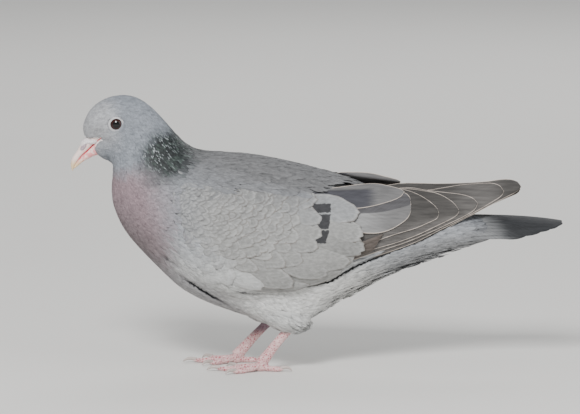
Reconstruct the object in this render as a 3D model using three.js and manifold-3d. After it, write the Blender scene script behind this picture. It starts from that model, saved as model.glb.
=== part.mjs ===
// A life-size stock dove (Columba oenas) as a museum shows one: standing, wings folded, looking ahead and a little down.
// Millimetres, +Z up, bill towards -X, tail towards +X, its left side towards -Y.
// The origin is on the floor, under the middle of the bird's length and breadth.
// The solids give the outline of the plumage. Each part is its own mesh, with a thin parting gap to its neighbours.
import * as THREE from "three";
import { mergeVertices } from "three/addons/utils/BufferGeometryUtils.js";
import Module from "manifold-3d";

const wasm = await Module();
wasm.setup();

// ---------------------------------------------------------------- driving sizes
const GAP = 0.3; // parting gap between neighbouring parts
const LEFT = -1;
const RIGHT = 1;
const SIDES = [["left", LEFT], ["right", RIGHT]];

const EYE_CENTRE = { x: -126.4, y: 9.2, z: 154.4 };
const EYE_RADIUS = 5.4;

// How finely the round shapes are faceted.
const HEAD_SECTIONS = 6; // the first body sections, which get a ring between each two
const BODY_AROUND = 18;
const BALL_DETAIL = [12, 6];

const SHANK_RADIUS = 3.5;
const TOE_RADIUS = 2.1;
const TOE_AXIS_HEIGHT = 1.75; // less than the radius, so that each toe rests on a small flat
const CLAW_RADIUS = 1.35;
const CLAW_TIP_HEIGHT = 0.3; // the claws' tips touch the floor

const COLOURS = {
  headGrey: 0x8b929b,
  neckGrey: 0x6d7478,
  covertGrey: 0xa4a5a7,
  tertialGrey: 0x8c8b8c,
  primaryGrey: 0x5f5b5a,
  tailGrey: 0x55585e,
  bellyGrey: 0xb4b6b8,
  cereWhite: 0xd9cfca,
  billPink: 0xdf9a8c,
  legPink: 0xc9727c,
  clawHorn: 0x4b4240,
  eyeBrown: 0x1c0d0a,
};

// ---------------------------------------------------------------- small helpers
const { lerp, clamp, smoothstep, degToRad } = THREE.MathUtils;
const vec = (x, y, z) => new THREE.Vector3(x, y, z);
const steps = (count) => Array.from({ length: count + 1 }, (_, i) => i / count);

/** A smooth curve through points; curve.getPoint(i / (n - 1)) is the i-th of them. */
const through = (points) => new THREE.CatmullRomCurve3(points, false, "catmullrom", 0.5);

/** A BufferGeometry from points and triangles. */
function geometryOf(points, triangles) {
  const geometry = new THREE.BufferGeometry().setFromPoints(points);
  geometry.setIndex(triangles);
  return geometry;
}

/** A closed body through rings of points, each ring closed on itself, with a fan over each end. */
function loft(rings) {
  const around = rings[0].length;
  const points = rings.flat();
  const triangles = [];
  for (let i = 0; i < rings.length - 1; i++) {
    for (let j = 0; j < around; j++) {
      const [a, b] = [i * around + j, i * around + ((j + 1) % around)];
      triangles.push(a, b, b + around, a, b + around, a + around);
    }
  }
  for (const [ring, first, turn] of [[rings[0], 0, 1], [rings.at(-1), (rings.length - 1) * around, -1]]) {
    const middle = points.length;
    points.push(ring.reduce((sum, p) => sum.add(p), vec(0, 0, 0)).divideScalar(around));
    for (let j = 0; j < around; j++) {
      const edge = [first + ((j + 1) % around), first + j];
      triangles.push(middle, ...(turn > 0 ? edge : edge.reverse()));
    }
  }
  return geometryOf(points, triangles);
}

/** A closed plate between two grids of points of the same size, joined round their rim. */
function plate(outer, inner) {
  const [rows, columns] = [outer.length, outer[0].length];
  const count = rows * columns;
  const at = (i, j) => i * columns + j;
  const triangles = [];
  for (let i = 0; i < rows - 1; i++) {
    for (let j = 0; j < columns - 1; j++) {
      const [a, b, c, d] = [at(i, j), at(i, j + 1), at(i + 1, j + 1), at(i + 1, j)];
      triangles.push(a, b, c, a, c, d);
      triangles.push(a + count, c + count, b + count, a + count, d + count, c + count);
    }
  }
  const rim = [];
  for (let j = 0; j < columns - 1; j++) rim.push(at(0, j));
  for (let i = 0; i < rows - 1; i++) rim.push(at(i, columns - 1));
  for (let j = columns - 1; j > 0; j--) rim.push(at(rows - 1, j));
  for (let i = rows - 1; i > 0; i--) rim.push(at(i, 0));
  rim.forEach((a, k) => {
    const b = rim[(k + 1) % rim.length];
    triangles.push(b, a, a + count, b, a + count, b + count);
  });
  return geometryOf([...outer.flat(), ...inner.flat()], triangles);
}

/** A tapering round limb along a curve, with its radius given by a function of the place along it. */
function limb(curve, radiusAt, { along = 10, around = 12, flatten = 1 } = {}) {
  const frames = curve.computeFrenetFrames(along, false);
  return loft(
    steps(along).map((t, i) => {
      const centre = curve.getPointAt(t);
      const side = vec(0, 1, 0).addScaledVector(frames.tangents[i], -frames.tangents[i].y).normalize();
      const up = side.clone().cross(frames.tangents[i]);
      return steps(around).slice(0, -1).map((k) => {
        const turn = k * 2 * Math.PI;
        return centre.clone()
          .addScaledVector(side, Math.cos(turn) * radiusAt(t) * flatten)
          .addScaledVector(up, Math.sin(turn) * radiusAt(t));
      });
    }),
  );
}

/** The solid of a closed geometry, grown outwards by a margin where one is given. */
function solid(geometry, margin = 0) {
  const bare = geometry.clone();
  bare.deleteAttribute("normal");
  bare.deleteAttribute("uv");
  const merged = mergeVertices(bare, 1e-4);
  const triVerts = new Uint32Array(merged.index.array);
  const made = () => new wasm.Manifold(
    new wasm.Mesh({ numProp: 3, vertProperties: merged.attributes.position.array, triVerts }),
  );
  if (made().volume() < 0) {
    for (let i = 0; i < triVerts.length; i += 3) [triVerts[i + 1], triVerts[i + 2]] = [triVerts[i + 2], triVerts[i + 1]];
  }
  if (margin) {
    merged.setIndex([...triVerts]);
    merged.computeVertexNormals();
    const [position, normal] = [merged.attributes.position, merged.attributes.normal];
    for (let i = 0; i < position.count; i++) {
      const moved = vec().fromBufferAttribute(position, i).addScaledVector(vec().fromBufferAttribute(normal, i), margin);
      position.setXYZ(i, moved.x, moved.y, moved.z);
    }
  }
  return made();
}

const joined = (solids) => solids.reduce((whole, one) => whole.add(one));
const without = (whole, cutters) => cutters.reduce((left, one) => left.subtract(one), whole);

/** The largest single body of a solid, without the crumbs that a cut leaves. */
const mainBody = (whole) => whole.decompose().sort((a, b) => b.volume() - a.volume())[0];

/** The half of space past a sloping cut through the X-Z plane, as a block: side 1 is towards the tail, -1 towards the bill. */
function halfSpace(top, bottom, side) {
  const block = 600;
  const across = vec(bottom[0] - top[0], 0, bottom[1] - top[1]).normalize();
  const towards = vec(-across.z, 0, across.x).multiplyScalar(side);
  const box = new THREE.BoxGeometry(block, block, block);
  box.applyMatrix4(new THREE.Matrix4().makeBasis(towards, vec(0, 1, 0), towards.clone().cross(vec(0, 1, 0))));
  const middle = vec((top[0] + bottom[0]) / 2, 0, (top[1] + bottom[1]) / 2);
  const centre = middle.addScaledVector(towards, block / 2 + GAP / 2);
  return solid(box.translate(centre.x, centre.y, centre.z));
}

/** An ellipsoid with its radii along a pitched X axis, Y and the matching Z. */
function ellipsoid(centre, radii, pitchDegrees = 0, detail = BALL_DETAIL) {
  return new THREE.SphereGeometry(1, ...detail)
    .rotateX(Math.PI / 2)
    .scale(...radii)
    .rotateY(degToRad(pitchDegrees))
    .translate(...centre);
}

// ---------------------------------------------------------------- head, neck and trunk
// Cross-sections of the body from the face to the tail coverts. Each is an egg-shaped ring that stands on a line from
// the back's outline (top x, z) to the throat's and belly's outline (bottom x, z). half is half its breadth, and egg
// shifts the broadest part up (above 0) or down (below 0).
const BODY_SECTIONS = [
  { name: "face", top: [-146.2, 147.0], bottom: [-137.8, 135.0], half: 6.0, egg: 0.0 },
  { name: "forehead", top: [-146.9, 154.0], bottom: [-134.0, 132.6], half: 9.2, egg: 0.1 },
  { name: "brow", top: [-142.6, 163.4], bottom: [-130.6, 131.0], half: 11.6, egg: 0.15 },
  { name: "eye", top: [-134.8, 169.8], bottom: [-128.4, 128.6], half: 13.2, egg: 0.2 },
  { name: "crown", top: [-124.4, 172.8], bottom: [-128.2, 124.0], half: 13.9, egg: 0.2 },
  { name: "occiput", top: [-114.0, 171.6], bottom: [-129.0, 118.0], half: 14.6, egg: 0.15 },
  { name: "nape", top: [-105.0, 166.0], bottom: [-129.2, 111.5], half: 15.8, egg: 0.1 },
  { name: "upper neck", top: [-97.0, 158.0], bottom: [-128.2, 104.0], half: 18.0, egg: 0.0 },
  { name: "hind neck", top: [-89.4, 149.4], bottom: [-125.4, 96.0], half: 21.5, egg: -0.05 },
  { name: "lower neck", top: [-81.8, 142.2], bottom: [-120.6, 87.0], half: 26.0, egg: -0.05 },
  { name: "mantle", top: [-72.5, 138.2], bottom: [-113.0, 77.5], half: 30.5, egg: 0.0 },
  { name: "shoulder", top: [-57.3, 137.0], bottom: [-101.0, 65.0], half: 35.0, egg: 0.05 },
  { name: "breast", top: [-38.0, 135.2], bottom: [-84.5, 50.0], half: 38.0, egg: 0.05 },
  { name: "keel", top: [-15.1, 130.7], bottom: [-62.0, 39.0], half: 39.0, egg: 0.05 },
  { name: "belly", top: [5.7, 125.2], bottom: [-33.0, 31.5], half: 38.0, egg: 0.05 },
  { name: "loin", top: [22.0, 119.4], bottom: [-5.0, 34.5], half: 35.0, egg: 0.05 },
  { name: "vent", top: [38.0, 113.5], bottom: [18.0, 46.0], half: 30.5, egg: 0.0 },
  { name: "rump", top: [56.0, 107.5], bottom: [41.0, 58.5], half: 25.5, egg: 0.0 },
  { name: "tail root", top: [75.0, 102.0], bottom: [66.0, 68.5], half: 20.5, egg: 0.0 },
  { name: "tail coverts", top: [92.0, 99.0], bottom: [88.0, 75.5], half: 17.0, egg: 0.0 },
  { name: "covert tips", top: [104.0, 96.0], bottom: [106.0, 80.5], half: 13.5, egg: 0.0 },
  { name: "last tips", top: [112.0, 93.0], bottom: [117.0, 86.5], half: 8.0, egg: 0.0 },
];

const NECK_CUT = { top: [-108.0, 169.0], bottom: [-129.4, 114.5] };
const SHOULDER_CUT = { top: [-77.0, 140.0], bottom: [-117.0, 82.5] };

function bodyGeometry() {
  const topLine = through(BODY_SECTIONS.map(({ top }) => vec(top[0], 0, top[1])));
  const bottomLine = through(BODY_SECTIONS.map(({ bottom }) => vec(bottom[0], 0, bottom[1])));
  const breadth = through(BODY_SECTIONS.map(({ half, egg }) => vec(half, egg, 0)));
  const last = BODY_SECTIONS.length - 1;
  const rings = [...steps(2 * HEAD_SECTIONS).map((s) => s * HEAD_SECTIONS), ...BODY_SECTIONS.keys()]
    .filter((ring, i) => i <= 2 * HEAD_SECTIONS || ring > HEAD_SECTIONS);
  return loft(
    rings.map((ring) => {
      const [top, bottom, { x: half, y: egg }] = [topLine, bottomLine, breadth].map((line) => line.getPoint(ring / last));
      return steps(BODY_AROUND).slice(0, -1).map((k) => {
        const turn = k * 2 * Math.PI;
        const point = top.clone().lerp(bottom, (1 - Math.cos(turn)) / 2);
        point.y = half * Math.sin(turn) * (1 + egg * Math.cos(turn));
        return point;
      });
    }),
  );
}

// ---------------------------------------------------------------- bill and cere
// Sections of the two halves of the bill, from the face to the tip: each stands on a line from its upper edge to its
// lower edge, and half is half its breadth.
const UPPER_BILL = [
  { top: [-143.0, 149.0], bottom: [-133.0, 144.6], half: 3.4 },
  { top: [-147.2, 144.6], bottom: [-137.8, 142.6], half: 3.3 },
  { top: [-149.4, 140.2], bottom: [-142.6, 138.6], half: 2.9 },
  { top: [-152.0, 135.8], bottom: [-146.6, 134.8], half: 2.4 },
  { top: [-154.3, 131.8], bottom: [-150.0, 131.2], half: 2.0 },
  { top: [-154.9, 128.4], bottom: [-152.3, 127.8], half: 1.3 },
  { top: [-154.0, 124.9], bottom: [-153.4, 124.9], half: 0.4 },
];
const LOWER_BILL = [
  { top: [-131.5, 144.6], bottom: [-131.5, 136.4], half: 3.1 },
  { top: [-137.2, 141.8], bottom: [-138.4, 134.6], half: 2.9 },
  { top: [-142.0, 138.0], bottom: [-142.8, 133.6], half: 2.5 },
  { top: [-146.0, 134.2], bottom: [-146.6, 131.2], half: 2.0 },
  { top: [-149.5, 130.6], bottom: [-149.8, 128.4], half: 1.5 },
  { top: [-152.2, 127.2], bottom: [-152.2, 126.0], half: 0.7 },
];
const CERE = { centre: [-144.3, 0, 142.6], radii: [4.4, 4.2, 3.2], pitch: -38 };

function billGeometry(sections, around = 10) {
  const lines = [
    through(sections.map(({ top }) => vec(top[0], 0, top[1]))),
    through(sections.map(({ bottom }) => vec(bottom[0], 0, bottom[1]))),
    through(sections.map(({ half }) => vec(half, 0, 0))),
  ];
  return loft(
    steps(sections.length - 1).map((t) => {
      const [top, bottom, { x: half }] = lines.map((line) => line.getPoint(t));
      return steps(around).slice(0, -1).map((k) => {
        const turn = k * 2 * Math.PI;
        const point = top.clone().lerp(bottom, (1 - Math.cos(turn)) / 2);
        point.y = half * Math.sin(turn);
        return point;
      });
    }),
  );
}

// ---------------------------------------------------------------- folded wings
// Sections of a folded wing's outer face from the wrist to the tip. Each is an arc from its upper edge (x, y, z) to its
// lower edge (x, y, z), and bulge is how far it swells outwards from the straight line between them.
const WING_SECTIONS = [
  { name: "wrist", upper: [-88.0, 26.5, 119.0], lower: [-88.0, 28.0, 92.0], bulge: 5.0 },
  { name: "fore edge", upper: [-80.5, 23.0, 127.0], lower: [-81.5, 28.5, 71.5], bulge: 12.0 },
  { name: "shoulder", upper: [-64.5, 20.5, 130.5], lower: [-66.5, 29.0, 55.0], bulge: 17.5 },
  { name: "shield", upper: [-42.0, 17.0, 131.5], lower: [-45.5, 30.5, 47.5], bulge: 20.0 },
  { name: "elbow", upper: [-17.0, 15.5, 128.0], lower: [-16.0, 30.5, 48.5], bulge: 20.5 },
  { name: "coverts", upper: [8.2, 12.5, 123.6], lower: [11.0, 29.0, 58.5], bulge: 19.0 },
  { name: "tertials", upper: [30.5, 9.5, 120.2], lower: [36.5, 26.5, 68.7], bulge: 16.5 },
  { name: "tertial tips", upper: [52.5, 7.5, 118.0], lower: [61.5, 23.0, 77.8], bulge: 13.0 },
  { name: "primaries", upper: [74.5, 6.5, 117.0], lower: [80.6, 19.5, 87.2], bulge: 9.0 },
  { name: "fore tip", upper: [96.5, 6.5, 117.2], lower: [101.4, 16.0, 97.2], bulge: 5.0 },
  { name: "near tip", upper: [115.0, 8.0, 118.2], lower: [117.4, 13.0, 106.5], bulge: 2.0 },
  { name: "tip", upper: [128.5, 9.5, 118.0], lower: [128.5, 10.5, 115.0], bulge: 0.3 },
];
const WING_UPPER = through(WING_SECTIONS.map(({ upper }) => vec(...upper)));
const WING_LOWER = through(WING_SECTIONS.map(({ lower }) => vec(...lower)));
const WING_BULGE = through(WING_SECTIONS.map(({ bulge }) => vec(bulge, 0, 0)));
const WING_LAST = WING_SECTIONS.length - 1;

/** A point on a wing's outer face: u counts its sections from the wrist, v runs from upper edge (0) to lower edge (1). */
function wingFace(side, u, v) {
  const t = clamp(u / WING_LAST, 0, 1);
  const point = WING_UPPER.getPoint(t).lerp(WING_LOWER.getPoint(t), v);
  point.y += WING_BULGE.getPoint(t).x * Math.max(4 * v * (1 - v), 0) ** 0.8;
  point.y *= side;
  return point;
}

/** The same point sunk into the wing by a depth, square to its face. Near the edges the direction stays as just inside them. */
function wingPoint(side, u, v, depth) {
  const step = 0.05;
  const edge = 0.15;
  const [u0, u1] = [Math.max(u - step, 0), Math.min(u + step, WING_LAST)];
  const inside = clamp(v, edge, 1 - edge);
  const along = wingFace(side, u1, inside).sub(wingFace(side, u0, inside));
  const across = wingFace(side, u, inside + step).sub(wingFace(side, u, inside - step));
  const outwards = along.cross(across).normalize();
  if (outwards.y * side < 0) outwards.negate();
  return wingFace(side, u, v).addScaledVector(outwards, -depth);
}

/** A plate of wing between two curved ends and two edges, all given in u and v, from one depth to a deeper one. */
function wingPlate(side, { from, to, above = () => 0, below = () => 1, outer, inner, rows, columns }) {
  const closerAtTheEdges = steps(columns).map((r) => (1 - Math.cos(Math.PI * r)) / 2);
  const sheet = (depthAt) => steps(rows).map((s) => closerAtTheEdges.map((r) => {
    const u = lerp(from(r), to(r), s);
    return wingPoint(side, u, lerp(above(u), below(u), r), depthAt(u));
  }));
  return plate(sheet(outer), sheet(inner));
}

/** Where a wing layer ends: a rounded tip between the section where it starts to narrow and the one it reaches. */
const roundedEnd = (shoulder, tip, bluntness) => (r) =>
  lerp(shoulder, tip, Math.max(1 - Math.abs(2 * r - 1) ** bluntness, 0.02));
const COVERT_END = (r) => 4.9 + 0.95 * Math.sin(Math.PI * (0.12 + 0.76 * r)) ** 0.6;
const SHIELD_TUCK = 0.06; // how much higher than the flight feathers' edge the coverts end
const PRIMARY_TIPS = [10.98, 9.4]; // section that each visible tip reaches, longest and deepest first
const TERTIAL_TIPS = [7.2, 6.95];
const LAYER_DEPTH = 6.2; // from the outer face of the wing to the inner face of its deepest layer
const PRIMARY_THICKNESS = 1.1;
const LAYER_STEP = 0.8; // from one primary down to the next
const LAYER_ROOM = 2; // how much deeper than its layers the bed in the body's side goes

/** How much shallower the primaries lie once they come out from under the tertials. */
const primaryRise = (u) => 2.6 * smoothstep(u, 6.6, 8.2);

function wingGeometries(side) {
  const shield = wingPlate(side, {
    from: () => 0,
    to: COVERT_END,
    below: (u) => 1 - SHIELD_TUCK * smoothstep(u, 1.5, 3.2),
    outer: () => 0,
    inner: (u) => lerp(LAYER_DEPTH, 1.1, smoothstep(u, 3.6, 4.6)),
    rows: 10,
    columns: 6,
  });
  const tertials = TERTIAL_TIPS.map((tip, k) => wingPlate(side, {
    from: () => 4.8,
    to: roundedEnd(6.3, tip, 2.6),
    below: () => 0.74 - 0.32 * k,
    outer: () => 2.0 - 0.55 * k,
    inner: () => 2.9,
    rows: 3,
    columns: 3,
  }));
  const primaries = PRIMARY_TIPS.map((tip, k) => wingPlate(side, {
    from: () => 5.1,
    to: roundedEnd(tip - 0.9, tip, 2.4),
    above: (u) => 0.02 + 0.1 * smoothstep(u, 8, 11),
    below: () => 1 - 0.06 * k,
    outer: (u) => LAYER_DEPTH - PRIMARY_THICKNESS - LAYER_STEP * k - primaryRise(u),
    inner: (u) => LAYER_DEPTH - LAYER_STEP * k - primaryRise(u),
    rows: 5,
    columns: 4,
  }));
  return { shield, tertials, primaries };
}

/** The room that a folded wing takes in the body's side: its shield, and one block for the layers behind it. */
function wingRooms({ shield }, side) {
  const layers = wingPlate(side, {
    from: () => 4.4,
    to: () => 9,
    above: () => -0.03,
    below: () => 1.04,
    outer: () => -2,
    inner: () => LAYER_DEPTH + LAYER_ROOM,
    rows: 5,
    columns: 5,
  });
  return [solid(shield, GAP), solid(layers, GAP)];
}

// ---------------------------------------------------------------- tail
// Folded tail feathers in layers: the middle pair lies on top, and each wider layer under it is a little lower.
const TAIL = { root: 66, tip: 154.9, rootHalf: 11, tipHalf: 22, height: 96.3, rootDroop: 10, tipDroop: 6, tipBend: 4 };
const TAIL_LAYERS = 4;
const TAIL_THICKNESS = 0.9;
const TAIL_LAYER_DROP = 0.6;

const TAIL_LAYER_SHORTER = 1; // each layer ends a little before the one under it
const TAIL_ROUNDING = 8; // how much shorter the outer corners are than the middle

/** A plate of the tail as broad as one of its layers and a margin, from one depth below the top face to a deeper one. */
function tailPlate(layer, top, underside, margin = 0) {
  const reach = (layer + 1) / TAIL_LAYERS;
  const halfAt = (s) => lerp(TAIL.rootHalf, TAIL.tipHalf, s ** 0.8) * lerp(0.38, 1, reach) + margin;
  const sheet = (sink) => steps(5).map((s) => steps(6).map((r) => {
    const across = 2 * r - 1;
    const y = across * halfAt(s);
    const end = TAIL.tip - TAIL_ROUNDING * Math.abs(across) ** 2.5 - TAIL_LAYER_SHORTER * (TAIL_LAYERS - 1 - layer);
    const fall = lerp(TAIL.rootDroop, TAIL.tipDroop, s) * (y / lerp(TAIL.rootHalf, TAIL.tipHalf, s ** 0.8)) ** 2;
    return vec(lerp(TAIL.root, end, s), y, TAIL.height - TAIL.tipBend * s ** 4 - fall - sink);
  }));
  return plate(sheet(top), sheet(underside));
}

const tailLayer = (layer) => tailPlate(layer, layer * TAIL_LAYER_DROP, layer * TAIL_LAYER_DROP + TAIL_THICKNESS);
const tailRoom = () =>
  solid(tailPlate(TAIL_LAYERS - 1, -GAP, (TAIL_LAYERS - 1) * TAIL_LAYER_DROP + TAIL_THICKNESS + GAP, 2 * GAP), GAP);

// ---------------------------------------------------------------- legs and feet
// x shifts of each leg's heel and foot; the right leg reaches a little ahead of the left.
const LEGS = {
  left: { heelShift: 0, footShift: 0, spread: 17 },
  right: { heelShift: -12, footShift: -15.5, spread: 17 },
};
const SHANK_BOW = 0.6; // how far the shank's middle bows forward
const HEEL = { x: -14.0, z: 31.0 };
const FOOT = { x: -35.5, z: 4.6 };
const PAD = { height: 2.6, radii: [4.2, 3.6, 3.0] }; // under the toes' roots; the floor cuts it to a small flat
const THIGH = { x: -22.6, z: 41.2, radii: [21, 12.5, 14.5], pitch: 34 };
const TOES = [
  { name: "inner", heading: -34, length: 20.5, claw: 5.8, bend: 0.8 },
  { name: "middle", heading: 0, length: 27.5, claw: 6.5, bend: 1.2 },
  { name: "outer", heading: 36, length: 21.5, claw: 5.8, bend: 0.8 },
  { name: "hind", heading: 172, length: 14.5, claw: 5.6, bend: 0.5 },
];

/** A toe's run along the floor from the foot's pad, and its claw's curl down from the toe's tip. */
function toeCurves(footX, footY, side, { heading, length, claw, bend }) {
  const turn = degToRad(heading * side);
  const ahead = vec(-Math.cos(turn), Math.sin(turn), 0);
  const place = (distance, height) => vec(footX, footY, height).addScaledVector(ahead, distance);
  return {
    toe: through([
      place(2.8, FOOT.z - 0.6),
      place(length * 0.3, TOE_AXIS_HEIGHT + bend),
      place(length * 0.65, TOE_AXIS_HEIGHT),
      place(length, TOE_AXIS_HEIGHT),
    ]),
    claw: through([
      place(length - 2.2, TOE_AXIS_HEIGHT + 0.6),
      place(length + claw * 0.35, TOE_AXIS_HEIGHT + 1.1),
      place(length + claw * 0.75, TOE_AXIS_HEIGHT + 0.3),
      place(length + claw, CLAW_TIP_HEIGHT),
    ]),
  };
}

/** Knuckled thickness of a toe along its length, rounded off at both ends. */
const toeRadius = (t) => TOE_RADIUS * (1 - 0.22 * t + 0.06 * Math.cos(6 * Math.PI * t)) * Math.min(1, 0.45 + 5 * (1 - t));
const clawRadius = (t) => CLAW_RADIUS * (1 - 0.62 * t);
const shankRadius = (t) => SHANK_RADIUS * (1.12 - 0.28 * Math.sin(Math.PI * clamp(t * 1.1, 0, 1)));

function legSolids(name, side) {
  const { heelShift, footShift, spread } = LEGS[name];
  const y = spread * side;
  const heel = vec(HEEL.x + heelShift, y * 0.96, HEEL.z);
  const foot = vec(FOOT.x + footShift, y, FOOT.z);
  const shankLine = through([heel, heel.clone().lerp(foot, 0.5).sub(vec(SHANK_BOW, 0, 0)), foot]);
  const shank = limb(shankLine, shankRadius, { along: 5, around: 8, flatten: 0.76 });
  const pad = ellipsoid([foot.x, y, PAD.height], PAD.radii, 0, [8, 6]);
  const thigh = ellipsoid([THIGH.x + heelShift, y * 0.98, THIGH.z], THIGH.radii, THIGH.pitch);
  const floor = solid(new THREE.BoxGeometry(600, 600, 20).translate(0, 0, -10));
  const shankSolid = joined([solid(shank), solid(pad)]).subtract(floor);
  const shankRoom = joined([solid(shank, GAP), solid(pad, GAP)]);

  const parts = { [`shank_${name}`]: shankSolid };
  const earlier = [];
  for (const toe of TOES) {
    const curves = toeCurves(foot.x, y, side, toe);
    const toeShape = limb(curves.toe, toeRadius, { along: 4, around: 6, flatten: 0.95 });
    const clawShape = limb(curves.claw, clawRadius, { along: 3, around: 5, flatten: 0.8 });
    const whole = without(solid(toeShape), [floor, shankRoom, solid(clawShape, GAP), ...earlier]);
    parts[`toe_${name}_${toe.name}`] = mainBody(whole);
    parts[`claw_${name}_${toe.name}`] = mainBody(solid(clawShape).subtract(floor));
    earlier.push(solid(toeShape, GAP));
  }
  return { parts, thigh, shankRoom };
}

// ---------------------------------------------------------------- the whole bird
/** A named mesh of a solid, with its own material. */
function meshOf(name, shape, colour, roughness) {
  const { vertProperties, triVerts, numProp } = shape.getMesh();
  const points = Array.from({ length: vertProperties.length / numProp }, (_, i) =>
    vec(vertProperties[i * numProp], vertProperties[i * numProp + 1], vertProperties[i * numProp + 2]));
  const geometry = geometryOf(points, [...triVerts]);
  geometry.computeVertexNormals();
  const mesh = new THREE.Mesh(geometry, new THREE.MeshStandardMaterial({ color: colour, roughness, metalness: 0 }));
  mesh.name = name;
  return mesh;
}

const bird = new THREE.Group();
const wings = Object.fromEntries(SIDES.map(([name, side]) => [name, wingGeometries(side)]));
const legs = Object.fromEntries(SIDES.map(([name, side]) => [name, legSolids(name, side)]));
const tailLayers = steps(TAIL_LAYERS - 1).map((_, layer) => tailLayer(layer));
const wingRoom = SIDES.flatMap(([name, side]) => wingRooms(wings[name], side));
const tailSolid = without(joined(tailLayers.map((shape) => solid(shape))), wingRoom);

function addHead(headSolid) {
  const upperBill = billGeometry(UPPER_BILL);
  const lowerBill = billGeometry(LOWER_BILL);
  const cere = ellipsoid(CERE.centre, CERE.radii, CERE.pitch, [10, 6]);
  const eyes = SIDES.map(([name, side]) => [
    name,
    ellipsoid([EYE_CENTRE.x, EYE_CENTRE.y * side, EYE_CENTRE.z], [EYE_RADIUS, EYE_RADIUS, EYE_RADIUS]),
  ]);
  const rooms = [upperBill, lowerBill, cere, ...eyes.map(([, shape]) => shape)].map((shape) => solid(shape, GAP));
  bird.add(meshOf("head", mainBody(without(headSolid, rooms)), COLOURS.headGrey, 0.85));
  bird.add(meshOf("cere", solid(cere), COLOURS.cereWhite, 0.6));
  const cereRoom = solid(cere, GAP);
  const upper = mainBody(solid(upperBill).subtract(cereRoom));
  bird.add(meshOf("bill_upper", upper, COLOURS.billPink, 0.4));
  const lower = mainBody(without(solid(lowerBill), [solid(upperBill, GAP), cereRoom]));
  bird.add(meshOf("bill_lower", lower, COLOURS.billPink, 0.4));
  for (const [name, shape] of eyes) bird.add(meshOf(`eye_${name}`, solid(shape), COLOURS.eyeBrown, 0.08));
}

function addTrunk(trunkSolid) {
  const thighRoom = Object.values(legs).map(({ thigh }) => solid(thigh, GAP));
  const shankRooms = Object.values(legs).map(({ shankRoom }) => shankRoom);
  const trunk = without(trunkSolid, [...wingRoom, tailRoom(), ...thighRoom, ...shankRooms]);
  bird.add(meshOf("trunk", mainBody(trunk), COLOURS.bellyGrey, 0.9));
  for (const [name] of SIDES) {
    const { parts, thigh, shankRoom } = legs[name];
    const thighSolid = without(solid(thigh), [shankRoom, ...wingRoom]);
    bird.add(meshOf(`thigh_${name}`, mainBody(thighSolid), COLOURS.bellyGrey, 0.9));
    for (const [part, shape] of Object.entries(parts)) {
      bird.add(meshOf(part, shape, part.startsWith("claw") ? COLOURS.clawHorn : COLOURS.legPink, 0.5));
    }
  }
}

function addWing(name) {
  const { shield, tertials, primaries } = wings[name];
  const shieldRoom = solid(shield, GAP);
  const tertialRoom = tertials.map((shape) => solid(shape, GAP));
  bird.add(meshOf(`wing_${name}_coverts`, solid(shield), COLOURS.covertGrey, 0.85));
  const tertialSolid = joined(tertials.map((shape) => solid(shape))).subtract(shieldRoom);
  bird.add(meshOf(`wing_${name}_tertials`, mainBody(tertialSolid), COLOURS.tertialGrey, 0.8));
  const primarySolid = without(joined(primaries.map((shape) => solid(shape))), [shieldRoom, ...tertialRoom]);
  bird.add(meshOf(`wing_${name}_primaries`, mainBody(primarySolid), COLOURS.primaryGrey, 0.75));
}

const whole = solid(bodyGeometry());
const headCut = (side) => halfSpace(NECK_CUT.top, NECK_CUT.bottom, side);
const trunkCut = (side) => halfSpace(SHOULDER_CUT.top, SHOULDER_CUT.bottom, side);
addHead(whole.intersect(headCut(-1)));
const neck = without(whole.intersect(headCut(1)).intersect(trunkCut(-1)), wingRoom);
bird.add(meshOf("neck", mainBody(neck), COLOURS.neckGrey, 0.85));
addTrunk(whole.intersect(trunkCut(1)));
for (const [name] of SIDES) addWing(name);
bird.add(meshOf("tail", mainBody(tailSolid), COLOURS.tailGrey, 0.75));

export default bird;
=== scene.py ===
"""A life-size stock dove (Columba oenas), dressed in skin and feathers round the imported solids.

The forms of the body, wings, tail and legs are named sizes in millimetres, in the solids' own frame: +Z
up, bill towards -X, left side towards -Y. Feathers are thin closed vanes, laid on those forms in rows and
joined into a few meshes. Colours and markings are procedural. The side plane is that of X and Z.
"""

import logging
import math
from dataclasses import dataclass, field
from enum import Enum
from functools import reduce
from typing import Callable, Iterable, Iterator, Sequence

import bmesh
import bpy
import numpy as np
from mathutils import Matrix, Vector
from mathutils.bvhtree import BVHTree


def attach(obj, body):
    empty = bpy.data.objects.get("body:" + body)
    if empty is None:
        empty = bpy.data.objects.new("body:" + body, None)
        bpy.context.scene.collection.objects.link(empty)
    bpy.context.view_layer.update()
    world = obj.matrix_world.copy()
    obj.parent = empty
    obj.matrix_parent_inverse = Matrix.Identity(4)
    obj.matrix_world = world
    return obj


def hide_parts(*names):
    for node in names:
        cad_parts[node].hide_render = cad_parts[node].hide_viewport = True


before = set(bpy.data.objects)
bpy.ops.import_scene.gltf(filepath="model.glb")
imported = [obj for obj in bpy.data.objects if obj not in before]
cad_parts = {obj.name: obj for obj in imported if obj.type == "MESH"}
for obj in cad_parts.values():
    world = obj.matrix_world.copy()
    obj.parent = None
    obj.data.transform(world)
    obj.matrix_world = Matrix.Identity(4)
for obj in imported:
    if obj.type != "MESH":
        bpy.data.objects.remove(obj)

log = logging.getLogger("stock_dove")

MM = 0.001
BODY = "root"
LEFT, RIGHT = -1, 1
SIDES = {"left": LEFT, "right": RIGHT}
EYE = (-125.7, 9.2, 155.8)  # the right eye's middle
EYE_RADIUS = 5.4
EYE_OPENING = 3.75  # the radius that the lids leave bare
Array = np.ndarray


# -------- curves and forms
def smooth(value: Array, low: float, high: float) -> Array:
    """Return 0 below low, 1 above high and a smooth step between them."""
    t = np.clip((np.asarray(value, float) - low) / (high - low), 0, 1)
    return t * t * (3 - 2 * t)


def lerp(a: Array, b: Array, t: Array) -> Array:
    """Return the value that lies the share t of the way from a to b."""
    return a + (b - a) * t


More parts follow.
